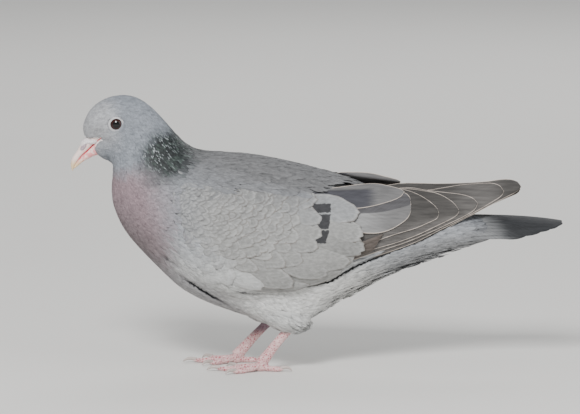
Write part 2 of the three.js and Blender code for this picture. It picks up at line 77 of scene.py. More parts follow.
def unit(v: Array) -> Array:
    """Return vectors scaled to length one."""
    return v / np.maximum(np.linalg.norm(v, axis=-1, keepdims=True), 1e-12)


def around(count: int) -> Array:
    """Return angles once round a ring."""
    return np.linspace(0, 2 * np.pi, count, endpoint=False)


def stretches(points: Array, line: Sequence) -> Iterator:
    """Compare places with each stretch of a line in the side plane.

    Args:
        points: the places.
        line: x, z and a strength at each of the line's points.

    Yields:
        How far the places are from the stretch, and the strength at the points nearest to them.
    """
    for (x0, z0, d0), (x1, z1, d1) in zip(line, line[1:]):
        dx, dz = x1 - x0, z1 - z0
        t = np.clip(((points[..., 0] - x0) * dx + (points[..., 2] - z0) * dz) / (dx * dx + dz * dz), 0, 1)
        yield np.hypot(points[..., 0] - x0 - t * dx, points[..., 2] - z0 - t * dz), lerp(d0, d1, t)


def egg(centre: tuple, radii: tuple, pitch: float, rows: int, columns: int, pole: float) -> Array:
    """Return rings of an egg from its front to its back.

    Args:
        centre: its middle.
        radii: its radii lengthwise, across and up.
        pitch: how far its back end leans down, in degrees.
        rows: how many rings it has.
        columns: how many points a ring has.
        pole: the angle left out at each end, in radians.

    Returns:
        Rings by points by 3, in millimetres.
    """
    lean, turn = np.linspace(pole, np.pi - pole, rows)[:, None], around(columns)
    x = -radii[0] * np.cos(lean) * np.ones_like(turn)
    y, z = radii[1] * np.sin(lean) * np.cos(turn), radii[2] * np.sin(lean) * np.sin(turn)
    cos, sin = math.cos(math.radians(pitch)), math.sin(math.radians(pitch))
    return np.stack([centre[0] + x * cos + z * sin, centre[1] + y, centre[2] - x * sin + z * cos], -1)
class Spline:
    """A smooth curve through points, the same as the solids' own curves."""

    def __init__(self, points: Sequence[Sequence[float]]) -> None:
        """Keep the points with one reflected neighbour past each end.

        Args:
            points: the points that the curve passes through.
        """
        p = np.asarray(points, float)
        self.last = len(p) - 1
        self.padded = np.vstack([2 * p[0] - p[1], p, 2 * p[-1] - p[-2]])

    def at(self, s: Array) -> Array:
        """Return points on the curve.

        Args:
            s: places along it, counted in points from 0.

        Returns:
            An array with one more axis than s.
        """
        s = np.clip(s, 0, self.last)
        i = np.minimum(s.astype(int), self.last - 1)
        w = (s - i)[..., None]
        p0, p1, p2, p3 = (self.padded[i + k] for k in range(4))
        t0, t1 = (p2 - p0) / 2, (p3 - p1) / 2
        return p1 + t0 * w + (-3 * p1 + 3 * p2 - 2 * t0 - t1) * w**2 + (2 * p1 - 2 * p2 + t0 + t1) * w**3


class Surface:
    """A surface kept as a grid of points and outward normals, and read smoothly between them."""

    def __init__(self, points: Array, p_range: tuple, q_range: tuple, wraps: bool, out: Array) -> None:
        """Work out the normals of a grid of points.

        Args:
            points: rows by columns by 3, in millimetres.
            p_range: first and last value of the parameter down the rows.
            q_range: first and last value of the parameter across the columns.
            wraps: True where the last column is followed by the first.
            out: a direction or directions that the normals point along.
        """
        self.points, self.wraps = points, wraps
        self.p_range, self.q_range = p_range, q_range
        self.normals = self._normals(points, wraps, out)

    @staticmethod
    def _normals(points: Array, wraps: bool, out: Array) -> Array:
        """Return unit normals of a grid of points that point along out."""
        down = np.gradient(points, axis=0)
        if wraps:
            across = (np.roll(points, -1, 1) - np.roll(points, 1, 1)) / 2
        else:
            across = np.gradient(points, axis=1)
        n = unit(np.cross(down, across))
        return n * np.where((n * out).sum(-1, keepdims=True) < 0, -1, 1)

    def _weights(self, p: Array, q: Array) -> tuple:
        """Return the grid cells and the shares between their corners for places on the surface."""
        rows, columns = self.points.shape[:2]
        i = np.clip((p - self.p_range[0]) / (self.p_range[1] - self.p_range[0]), 0, 1) * (rows - 1)
        if self.wraps:
            j = (q - self.q_range[0]) / (self.q_range[1] - self.q_range[0]) * columns
            j0 = np.floor(j).astype(int)
            fj = j - j0
            j0, j1 = j0 % columns, (j0 + 1) % columns
        else:
            j = np.clip((q - self.q_range[0]) / (self.q_range[1] - self.q_range[0]), 0, 1) * (columns - 1)
            j0 = np.minimum(j.astype(int), columns - 2)
            fj, j1 = j - j0, j0 + 1
        i0 = np.minimum(i.astype(int), rows - 2)
        return i0, j0, j1, (i - i0)[..., None], fj[..., None]

    def read(self, table: Array, p: Array, q: Array) -> Array:
        """Return the values of a grid of values at places on the surface."""
        i, j0, j1, fi, fj = self._weights(p, q)
        return lerp(lerp(table[i, j0], table[i, j1], fj), lerp(table[i + 1, j0], table[i + 1, j1], fj), fi)

    def at(self, p: Array, q: Array) -> tuple:
        """Return points and normals at places on the surface."""
        return self.read(self.points, p, q), unit(self.read(self.normals, p, q))

    def steps(self, p: Array, q: Array) -> tuple:
        """Return how the point moves with each parameter, as two arrays of vectors."""
        dp = (self.p_range[1] - self.p_range[0]) / (self.points.shape[0] - 1) * 2
        dq = (self.q_range[1] - self.q_range[0]) / self.points.shape[1] * 2
        p0 = np.clip(p, self.p_range[0] + dp, self.p_range[1] - dp)
        by_p = (self.at(p0 + dp, q)[0] - self.at(p0 - dp, q)[0]) / (2 * dp)
        by_q = (self.at(p, q + dq)[0] - self.at(p, q - dq)[0]) / (2 * dq)
        return by_p, by_q


@dataclass(frozen=True)
class Section:
    """A ring of the body: it stands on a line from the back (top x, z) to the belly (bottom x, z)."""

    top: tuple
    bottom: tuple
    half: float
    egg: float = 0.0


@dataclass
class BodyForm:
    """The outline of the plumage from the face to the tail coverts."""

    sections: tuple = (
        Section((-146.2, 147.0), (-137.8, 135.0), 6.0),
        Section((-146.9, 154.0), (-134.0, 132.6), 9.2, 0.1),
        Section((-142.6, 163.4), (-130.6, 131.0), 11.6, 0.15),
        Section((-134.8, 169.8), (-128.4, 128.6), 13.2, 0.2),
        Section((-124.4, 172.8), (-128.2, 124.0), 13.9, 0.2),
        Section((-114.0, 171.6), (-129.0, 118.0), 14.6, 0.15),
        Section((-105.0, 166.0), (-129.2, 111.5), 15.8, 0.1),
        Section((-97.0, 158.0), (-128.2, 104.0), 18.0),
        Section((-89.4, 149.4), (-125.4, 96.0), 21.5, -0.05),
        Section((-81.8, 142.2), (-120.6, 87.0), 26.0, -0.05),
        Section((-72.5, 138.2), (-113.0, 77.5), 30.5),
        Section((-57.3, 137.0), (-101.0, 65.0), 35.0, 0.05),
        Section((-38.0, 135.2), (-84.5, 50.0), 38.0, 0.05),
        Section((-15.1, 130.7), (-62.0, 39.0), 39.0, 0.05),
        Section((5.7, 125.2), (-33.0, 31.5), 38.0, 0.05),
        Section((22.0, 119.4), (-5.0, 34.5), 35.0, 0.05),
        Section((38.0, 113.5), (18.0, 46.0), 30.5),
        Section((56.0, 107.5), (41.0, 58.5), 25.5),
        Section((75.0, 102.0), (66.0, 68.5), 20.5),
        Section((92.0, 99.0), (88.0, 75.5), 17.0),
        Section((104.0, 96.0), (106.0, 80.5), 13.5),
        Section((112.0, 93.0), (117.0, 86.5), 8.0),
    )

    face_edge: tuple = ((-144.5, 132.5), (-141.8, 136.0), (-139.2, 141.0), (-135.6, 145.0), (-137.5, 147.0))
    gape: tuple = ((-134.6, 147.2, 0.6), (-136.2, 145.9, 1.0), (-137.6, 144.7, 1.0), (-140.7, 141.6, 1.0))
    pinch: float = 0.5  # how much narrower the face is where the bill breaks through
    muzzle: float = 0.38  # how much it narrows towards the bill

    def __post_init__(self) -> None:
        """Make the curves that run through the sections."""
        self.top = Spline([s.top for s in self.sections])
        self.bottom = Spline([s.bottom for s in self.sections])
        self.breadth = Spline([(s.half, s.egg) for s in self.sections])
        self.last = len(self.sections) - 1

    def at(self, s: Array, turn: Array) -> Array:
        """Return points of the body's outline.

        Args:
            s: places along the body, counted in sections.
            turn: angles round it, 0 at the back, positive on the right side.

        Returns:
            Points in millimetres.
        """
        breadth = self.breadth.at(s)
        xz = lerp(self.top.at(s), self.bottom.at(s), ((1 - np.cos(turn)) / 2)[..., None])
        y = breadth[..., 0] * np.sin(turn) * (1 + breadth[..., 1] * np.cos(turn))
        narrow = (1 - self.pinch * self.at_bill(*xz.T).T) * (1 - self.muzzle * self.near_bill(*xz.T).T)
        return np.stack([xz[..., 0], y * narrow, xz[..., 1]], -1)

    def outwards(self, s: Array, turn: Array) -> tuple:
        """Return points of the outline, and how each lies from the body's axis."""
        points, axis = self.at(s, turn), lerp(self.top.at(s), self.bottom.at(s), 0.5)
        return points, points - np.stack([axis[..., 0], 0 * axis[..., 0], axis[..., 1]], -1)

    def _from_edge(self, x: Array, z: Array) -> Array:
        """Return how far behind the edge of the bill's root a place in the side plane is."""
        return x - np.interp(z, [p[1] for p in self.face_edge], [p[0] for p in self.face_edge])

    def at_bill(self, x: Array, z: Array) -> Array:
        """Return 1 where the bill's root and cere break through the face in the side plane, 0 elsewhere."""
        return (1 - smooth(self._from_edge(x, z), -1.2, 1.4)) * (1 - smooth(z, 145.4, 147.4))

    def near_bill(self, x: Array, z: Array) -> Array:
        """Return how close a place in the side plane is to the bill: 1 at its root, 0 by the eye."""
        return (1 - smooth(self._from_edge(x, z), -1, 9)) * (1 - smooth(z, 145, 157))

    def from_gape(self, points: Array) -> Array:
        """Return how far places are from the line in which the mouth runs back into the face."""
        return np.minimum.reduce([away for away, _ in stretches(points, self.gape)])


@dataclass
class WingForm:
    """The outer face of a folded wing, from the wrist to the tip."""

    upper_line: tuple = (
        (-88.0, 26.5, 119.0), (-80.5, 23.0, 127.0), (-64.5, 20.5, 130.5), (-42.0, 17.0, 131.5),
        (-17.0, 15.5, 128.0), (8.2, 12.5, 123.6), (30.5, 9.5, 120.2), (52.5, 7.5, 118.0),
        (74.5, 6.5, 117.0), (96.5, 6.5, 117.2), (115.0, 8.0, 118.2), (128.5, 9.5, 118.0),
    )
    lower_line: tuple = (
        (-88.0, 28.0, 92.0), (-81.5, 28.5, 71.5), (-66.5, 29.0, 55.0), (-45.5, 30.5, 47.5),
        (-16.0, 30.5, 48.5), (11.0, 29.0, 58.5), (36.5, 26.5, 68.7), (61.5, 23.0, 77.8),
        (80.6, 19.5, 87.2), (101.4, 16.0, 97.2), (117.4, 13.0, 106.5), (128.5, 10.5, 115.0),
    )
    bulges: tuple = (5.0, 12.0, 17.5, 20.0, 20.5, 19.0, 16.5, 13.0, 9.0, 5.0, 2.0, 0.3)

    def __post_init__(self) -> None:
        """Make the curves that the face stands on."""
        self.upper, self.lower = Spline(self.upper_line), Spline(self.lower_line)
        self.bulge = Spline([(b,) for b in self.bulges])
        self.last = len(self.bulges) - 1

    def at(self, u: Array, v: Array) -> Array:
        """Return points of the right wing's face; u counts sections, v runs from upper to lower edge."""
        point = lerp(self.upper.at(u), self.lower.at(u), v[..., None])
        point[..., 1] += self.bulge.at(u)[..., 0] * np.maximum(4 * v * (1 - v), 0) ** 0.8
        return point

    def place(self, x: Array, z: Array) -> tuple:
        """Return the u and v of places in the side plane."""
        u = np.interp(x, [p[0] for p in self.upper_line], np.arange(self.last + 1.0))
        for _ in range(12):
            upper, lower = self.upper.at(u), self.lower.at(u)
            v = (upper[..., 2] - z) / (upper[..., 2] - lower[..., 2])
            ahead = np.minimum(u + 0.02, self.last)
            rate = lerp(self.upper.at(ahead), self.lower.at(ahead), v[..., None])[..., 0]
            rate = (rate - lerp(upper, lower, v[..., None])[..., 0]) / np.maximum(ahead - u, 1e-6)
            step = (x - lerp(upper, lower, v[..., None])[..., 0]) / np.where(np.abs(rate) < 5, 20, rate)
            u = np.clip(u + np.clip(step, -0.5, 0.5), 0, self.last - 0.001)
        return u, v

    def side_plane(self) -> Surface:
        """Return the right wing's face as a surface over x (rows) and z (columns)."""
        x, z = np.meshgrid(np.linspace(-90, 131, 443), np.linspace(42, 136, 189), indexing="ij")
        u, v = self.place(x, z)
        y = self.at(u, np.clip(v, 0.015, 0.985))[..., 1]
        y = y - 14 * np.maximum(np.abs(v - 0.5) - 0.485, 0)
        return Surface(np.stack([x, y, z], -1), (-90, 131), (42, 136), False, np.array([0, 1, 0]))


@dataclass(frozen=True)
class ThighForm:
    """The feathered upper part of each leg: an egg that leans down and back to the heel."""

    centre: tuple = (-22.6, 16.7, 41.2)
    radii: tuple = (21.0, 12.5, 14.5)
    pitch: float = 34.0
    right_shift: float = -12.0  # how far ahead of the left one the right thigh is

    def rings(self, side: int, grow: float = 0.0) -> Array:
        """Return rings of one thigh from its front to the heel, grown outwards by a thickness."""
        x, y, z = self.centre
        centre = (x + (self.right_shift if side > 0 else 0.0), y * side, z)
        return egg(centre, tuple(r + grow for r in self.radii), self.pitch, 36, 48, 0.04)

    def surface(self, side: int) -> Surface:
        """Return one thigh as a surface over its length and its round."""
        points = self.rings(side)
        return Surface(points, (0, 1), (-np.pi, np.pi), True, points - points.mean(axis=(0, 1)))


@dataclass(frozen=True)
class Crease:
    """The folds between the plumage's big pads, dented into the coat and darkened by a painted shadow: lines
    of x, z and depth in the side plane.
    """

    lines: tuple = (
        ((-99.5, 76.6, 0.0), (-94.0, 71.6, 1.2), (-87.0, 66.7, 0.3)),
        ((-92.0, 64.6, 0.0), (-84.0, 59.2, 0.9), (-79.0, 56.0, 1.9), (-73.4, 52.3, 2.3), (-65.5, 47.2, 2.0),
         (-57.1, 42.4, 0.6), (-51.4, 38.9, 0.0)),
        ((-53.0, 54.0, 0.0), (-48.0, 52.4, 1.5), (-40.0, 51.2, 1.2), (-27.0, 51.4, 0.4), (-12.0, 53.7, 0.1)),
        ((-14.0, 58.4, 0.0), (-5.4, 56.0, 1.4), (8.2, 58.6, 2.0), (22.7, 67.4, 2.0), (50.7, 78.6, 2.0),
         (66.1, 83.8, 1.9), (79.6, 91.2, 1.8), (92.1, 97.0, 1.6), (107.5, 101.5, 0.6)),
    )
    width: float = 1.1
    flanks: tuple = (6.0, 11.0)  # how far from the middle plane the folds start and are full

    def depth(self, points: Array) -> Array:
        """Return how deep the folds are at places."""
        folds = (fold_shadow for line in self.lines for fold_shadow in stretches(points, line))
        dents = (strength * np.exp(-(away / self.width) ** 2) for away, strength in folds)
        depth = reduce(np.maximum, dents, 0.0)
        return depth * smooth(np.abs(points[..., 1]), *self.flanks)

    def shade(self) -> bpy.types.NodeTree:
        """Return a node group that gives a mask of the painted shadow in the folds at a place."""
        group, tree, entry, leave = node_group("plumage fold shadows", {"Place": ("Vector", None)},
        {"Mask": "Float"})
        place = tree.shaken(tree.vector("SCALE", entry.outputs["Place"], scale=1 / MM), 0.55, 3.0, 2.4)
        mask = 0.0
        for line in self.lines:
            mask = tree.math("MAXIMUM", tree.near_line(place, line, 0.1, 1.3, 0.55), mask)
        side = tree.math("ABSOLUTE", tree.parts(entry.outputs["Place"])[1])
        mask = tree.product(mask, tree.step(side, *(y * MM for y in self.flanks)))
        tree.link(mask, leave.inputs["Mask"])
        return group


# -------- meshes from grids and arrays
def tube(name: str, rings: Array) -> bpy.types.Object:
    """Make a closed tube: a rolled-up grid whose rings are moved to their places, with a fan over each end.

    Args:
        name: the object's name.
        rings: rings by points by 3, in millimetres.

    Returns:
        The new object, linked to the scene. Its UV map Run goes round the tube and along it.
    """
    count, points = rings.shape[:2]
    bm = bmesh.new()
    bmesh.ops.create_grid(bm, x_segments=points, y_segments=count - 1, size=1)
    run = bm.loops.layers.uv.new("Run")
    for face in bm.faces:
        for loop in face.loops:
            row, column = divmod(loop.vert.index, points + 1)
            loop[run].uv = (column / points, row / (count - 1))
    for vert, place in zip(list(bm.verts), np.concatenate([rings, rings[:, :1]], 1).reshape(-1, 3) * MM):
        vert.co = place
    seam = [v for i, v in enumerate(bm.verts) if i % (points + 1) in (0, points)]
    bmesh.ops.remove_doubles(bm, verts=seam, dist=1e-7)
    caps = bmesh.ops.holes_fill(bm, edges=[e for e in bm.edges if e.is_boundary], sides=0)["faces"]
    bmesh.ops.poke(bm, faces=caps)
    bmesh.ops.recalc_face_normals(bm, faces=bm.faces)
    return placed(name, bm)


def limb(line: Spline, radius: Callable, along: int, points: int, flatten: float = 1.0) -> Array:
    """Return rings round a curve.

    Args:
        line: the curve down the limb's middle.
        radius: its radius at places from 0 to 1.
        along: how many rings it has.
        points: how many points a ring has.
        flatten: its breadth as a share of its depth.

    Returns:
        Rings by points by 3, in millimetres.
    """
    t = np.linspace(0, 1, along)
    centre = line.at(t * line.last)
    tangent = unit(np.gradient(centre, axis=0))
    side = unit(np.array([0.0, 1.0, 0.0]) - tangent * tangent[:, 1:2])
    up = np.cross(side, tangent)
    turn = around(points)
    ring = side[:, None] * np.cos(turn)[None, :, None] * flatten + up[:, None] * np.sin(turn)[None, :, None]
    return centre[:, None] + ring * radius(t)[:, None, None]


def tube_ring(name: str, rings: Array) -> bpy.types.Object:
    """Make a closed ring: a grid rolled up both ways.

    Args:
        name: the object's name.
        rings: rings by points by 3, in millimetres; the last ring is followed by the first.

    Returns:
        The new object.
    """
    count, points = rings.shape[:2]
    bm = bmesh.new()
    bmesh.ops.create_grid(bm, x_segments=points, y_segments=count, size=1)
    places = np.pad(rings, ((0, 1), (0, 1), (0, 0)), mode="wrap").reshape(-1, 3) * MM
    for vert, place in zip(list(bm.verts), places):
        vert.co = place
    bmesh.ops.remove_doubles(bm, verts=bm.verts, dist=1e-7)
    bmesh.ops.recalc_face_normals(bm, faces=bm.faces)
    return placed(name, bm)


def placed(name: str, bm: bmesh.types.BMesh, flat: bool = False) -> bpy.types.Object:
    """Turn a bmesh into an object at the origin, shaded smooth unless flat is True."""
    mesh = bpy.data.meshes.new(name)
    bm.to_mesh(mesh)
    bm.free()
    mesh.polygons.foreach_set("use_smooth", [not flat] * len(mesh.polygons))
    return linked(name, mesh)


def linked(name: str, data: bpy.types.ID) -> bpy.types.Object:
    """Put data into the scene as a new object and return it."""
    obj = bpy.data.objects.new(name, data)
    bpy.context.scene.collection.objects.link(obj)
    return obj


def with_modifier(obj: bpy.types.Object, kind: str, **settings: object) -> bpy.types.Object:
    """Apply one modifier to an object and return it."""
    modifier = obj.modifiers.new(kind.title(), kind)
    for key, value in settings.items():
        setattr(modifier, key, value)
    with bpy.context.temp_override(object=obj, active_object=obj, selected_objects=[obj]):
        bpy.ops.object.modifier_apply(modifier=modifier.name)
    return obj


def merged(obj: bpy.types.Object, voxel: float, rounds: int) -> bpy.types.Object:
    """Merge an object's tubes into one closed surface.

    Args:
        obj: the object.
        voxel: the size of the surface's grid, in millimetres.
        rounds: how often it is smoothed.

    Returns:
        The same object.
    """
    with_modifier(obj, "REMESH", mode="VOXEL", voxel_size=voxel * MM)
    return with_modifier(obj, "SMOOTH", factor=0.5, iterations=rounds)


def joined(objects: Sequence[bpy.types.Object]) -> bpy.types.Object:
    """Join objects into the first of them and return it."""
    chosen = {"selected_objects": list(objects), "selected_editable_objects": list(objects)}
    with bpy.context.temp_override(object=objects[0], active_object=objects[0], **chosen):
        bpy.ops.object.join()
    return objects[0]


@dataclass(frozen=True)
class Vane:
    """The plan of one feather: a closed lens over a grid from root (0) to tip (1) and side to side."""

    rows: int
    columns: int

    def plan(self) -> tuple:
        """Make the lens with mesh operators and read it as arrays.

        Returns:
            Places along (0 to 1), across (-1 to 1), face (-1 under, 0 rim, 1 upper) and the quads.
        """
        bm = bmesh.new()
        bmesh.ops.create_grid(bm, x_segments=self.columns, y_segments=self.rows, size=1)
        under = bmesh.ops.duplicate(bm, geom=bm.verts[:] + bm.edges[:] + bm.faces[:])["geom"]
        lower = {g for g in under if isinstance(g, bmesh.types.BMVert)}
        bmesh.ops.reverse_faces(bm, faces=[g for g in under if isinstance(g, bmesh.types.BMFace)])
        for vert in bm.verts:
            if not vert.is_boundary:
                vert.co.z = -1 if vert in lower else 1
        bmesh.ops.remove_doubles(bm, verts=bm.verts, dist=1e-4)
        bm.verts.index_update()
        co = np.array([v.co for v in bm.verts])
        quads = np.array([[v.index for v in f.verts] for f in bm.faces])
        bm.free()
        return (co[:, 1] + 1) / 2, co[:, 0], np.round(co[:, 2]), quads


TINY = Vane(4, 2)
SMALL = Vane(5, 4)
MEDIUM = Vane(7, 6)
COVERT = Vane(11, 8)
LONG = Vane(30, 10)


@dataclass
class Feathers:
    """Feathers of one kind on one surface. Each value is one number, or an array with one for each feather."""

    p: Array
    q: Array
    length: Array
    half: Array
    heading: Array = 0.0  # radians from the surface's first direction towards its second
    sink: Array = 1.0  # depth of the root under the surface
    lift: Array = 0.0  # height of the tip over it
    camber: float = 0.12
    roll: Array = 0.0  # how far the second edge stands over the first
    curve: Array = 0.0
    rounding: float = 0.22
    base: float = 0.45
    taper: float = 0.35
    fray: float = 0.06
    thickness: float = 0.16
    tone: Array = 0.0
    mark: Array = 0.0
    plan_view: bool = False  # True where length and heading are measured in the surface's two parameters

    def vertices(self, surface: Surface, vane: Vane, rng: np.random.Generator) -> Array:
        """Return the vertices of every feather.

        Args:
            surface: the surface that the feathers lie on.
            vane: the plan that they are made from.
            rng: the source of their ragged edges.

        Returns:
            Feathers by vertices by 3, in millimetres.
        """
        f, c, face, _ = vane.plan()
        column = lambda value: np.broadcast_to(value, self.p.shape)[:, None]
        length, half = column(self.length), column(self.half)
        ragged = rng.normal(0, self.fray, (len(self.p), len(f))) * smooth(f, 0.75, 1.0) * (face == 0)
        along = length * (f - self.rounding * np.abs(c) ** 2.2 * f**3 + ragged)
        width = lerp(self.base, 1, smooth(f, 0, 0.45)) * (1 - self.taper * smooth(f, 0.62, 1.0))
        across = half * c * width + column(self.curve) * length * f**2
        height = (column(self.lift) * f**2 - column(self.sink) * (1 - f) ** 1.5 - self.camber * half * c**2
                  + column(self.roll) * c * smooth(f, 0.2, 1.0)
                  + face * self.thickness / 2 * (1 - 0.5 * f))
        cos, sin = np.cos(column(self.heading)), np.sin(column(self.heading))
        p, q = self._places(surface, along * cos - across * sin, along * sin + across * cos)
        point, normal = surface.at(p, q)
        return point + normal * height[..., None]

    def _places(self, surface: Surface, ahead: Array, aside: Array) -> tuple:
        """Return the surface's parameters at every vertex.

        Args:
            surface: the surface.
            ahead: how far each vertex is from its feather's root along the surface's first direction.
            aside: how far it is across that direction.

        Returns:
            Both parameters.
        """
        if self.plan_view:
            return self.p[:, None] + ahead, self.q[:, None] + aside
        by_p, by_q = surface.steps(self.p, self.q)
        first = unit(by_p)
        second = unit(by_q - first * (by_q * first).sum(-1, keepdims=True))
        inner = lambda a, b: (a * b).sum(-1)[:, None]
        pp, pq, qq = inner(by_p, by_p), inner(by_p, by_q), inner(by_q, by_q)
        det = pp * qq - pq**2
        mp = inner(first, by_p) * ahead + inner(second, by_p) * aside
        mq = inner(first, by_q) * ahead + inner(second, by_q) * aside
        return self.p[:, None] + (qq * mp - pq * mq) / det, self.q[:, None] + (pp * mq - pq * mp) / det


@dataclass
class CoatPiece:
    """One joined mesh of feathers, gathered from several kinds."""

    name: str
    patch: float = 0.003
    rims: bool = False  # True where the material reads how far a place is from its feather's edge
    parts: list = field(default_factory=list)

    def add(self, vertices: Array, vane: Vane, roots: Array, unwrap: Array, tone: Array, mark: Array = 0.0,
            flip: bool = False) -> None:
        """Add feathers.

        Args:
            vertices: feathers by vertices by 3, in millimetres.
            vane: the plan that they were made from.
            roots: the place that gives each feather its colour, in millimetres.
            unwrap: each root's place on an unwrap of the form, 0 to 1 both ways.
            tone: a number for each feather that makes it lighter or darker.
            mark: a number for each feather that its material may read.
            flip: True for feathers that were mirrored.
        """
        count = len(vertices)
        tone, mark = (np.broadcast_to(value, count) for value in (tone, mark))
        self.parts.append((vertices, vane, roots, unwrap, tone, mark, flip))

    def build(self) -> bpy.types.Object:
        """Return the joined mesh as an object, with its UV maps and attributes."""
        gathered = {key: [] for key in ("points", "corners", "vane", "bake", "root", "tone", "mark", "rim")}
        start = 0
        for vertices, plan, roots, unwrap, tones, marks, flip in self.parts:
            f, c, face, quads = plan.plan()
            count, size = vertices.shape[:2]
            faces = quads[:, ::-1] if flip else quads
            corners = (np.arange(count)[:, None, None] * size + faces[None]).reshape(-1)
            local = np.stack([c / 2 + 0.5, f], -1)
            patch = (unwrap[:, None] + (local - 0.5)[None] * self.patch).reshape(-1, 2)
            edge = (face == 0) & (f > 0.01)
            rims = [self._to_rim(v, edge) if self.rims else np.zeros(size) for v in vertices]
            values = (vertices.reshape(-1, 3), corners + start, np.tile(local, (count, 1))[corners],
                      patch[corners], np.repeat(roots, size, 0), np.repeat(tones, size),
                      np.repeat(marks, size), np.concatenate(rims))
            for kept, value in zip(gathered.values(), values):
                kept.append(value)
            start += count * size
        return self._mesh(**{key: np.concatenate(values) for key, values in gathered.items()})

    @staticmethod
    def _to_rim(vertices: Array, edge: Array) -> Array:
        """Return each vertex's distance from its feather's edge, in millimetres."""
        return np.linalg.norm(vertices[:, None] - vertices[None, edge], axis=-1).min(1)

    def _mesh(self, points: Array, corners: Array, vane: Array, bake: Array, root: Array,
              **numbers: Array) -> bpy.types.Object:
        """Make the mesh from arrays of its quads.

        Args:
            points: the vertices' places.
            corners: the vertex at each corner of each quad.
            vane: the corners' places on their feathers.
            bake: their places on the piece's unwrap.
            root: each vertex's feather's root.
            numbers: other values of the vertices, by name.

        Returns:
            The object.
        """
        count = len(corners) // 4
        mesh = bpy.data.meshes.new(self.name)
        mesh.vertices.add(len(points))
        mesh.vertices.foreach_set("co", (points * MM).astype(np.float32).ravel())
        mesh.loops.add(len(corners))
        mesh.loops.foreach_set("vertex_index", corners.astype(np.int32))
        mesh.polygons.add(count)
        mesh.polygons.foreach_set("loop_start", np.arange(0, len(corners), 4, dtype=np.int32))
        mesh.update(calc_edges=True)
        mesh.polygons.foreach_set("use_smooth", np.ones(count, bool))
        for name, values in (("Vane", vane), ("OFBake", bake)):
            mesh.uv_layers.new(name=name).data.foreach_set("uv", values.astype(np.float32).ravel())
        attribute = mesh.attributes.new("root", "FLOAT_VECTOR", "POINT")
        attribute.data.foreach_set("vector", (root * MM).astype(np.float32).ravel())
        for name, values in numbers.items():
            mesh.attributes.new(name, "FLOAT", "POINT").data.foreach_set("value", values.astype(np.float32))
        mesh.set_sharp_from_angle(angle=math.radians(100))
        return linked(self.name, mesh)


def evenly(surface: Surface, p: Array, q: Array, rng: np.random.Generator) -> Array:
    """Thin out places that were drawn evenly over a surface's parameters.

    Args:
        surface: the surface.
        p: the places' first parameter.
        q: their second parameter.
        rng: the source of what is kept.

    Returns:
        True for the places to keep, which lie evenly over the surface itself.
    """
    area = np.linalg.norm(np.cross(*surface.steps(p, q)), axis=-1)
    return rng.uniform(0, area.max(), len(p)) < area * 1.5


def spread(points: Array, spacing: Array, rng: np.random.Generator) -> Array:
    """Pick points at random that keep their distance.

    Args:
        points: candidates, in millimetres.
        spacing: the least distance from each to those picked before it.
        rng: the source of the random order.

    Returns:
        The indices of the points that were picked.
    """
    cell = float(spacing.max())
    taken: dict = {}
    picked = []
    near = [(i, j, k) for i in (-1, 0, 1) for j in (-1, 0, 1) for k in (-1, 0, 1)]
    places, gaps, cells = points.tolist(), (spacing**2).tolist(), np.floor(points / cell).astype(int).tolist()
    for index in rng.permutation(len(points)).tolist():
        (x, y, z), (i, j, k), gap = places[index], cells[index], gaps[index]
        others = (other for di, dj, dk in near for other in taken.get((i + di, j + dj, k + dk), ()))
        if all((x - a) ** 2 + (y - b) ** 2 + (z - c) ** 2 >= gap for a, b, c in others):
            taken.setdefault((i, j, k), []).append((x, y, z))
            picked.append(index)
    return np.array(picked, int)


class Mark(Enum):
    """The kinds of big feathers that have markings of their own, as numbers that their material reads."""

    NONE = 0.0
    GREATER = 1.0  # on coverts
    UPPER = 1.0  # from here on, on tertials and secondaries
    LOWER = 2.0
    LIFTED = 3.0
    SECONDARY = 4.0


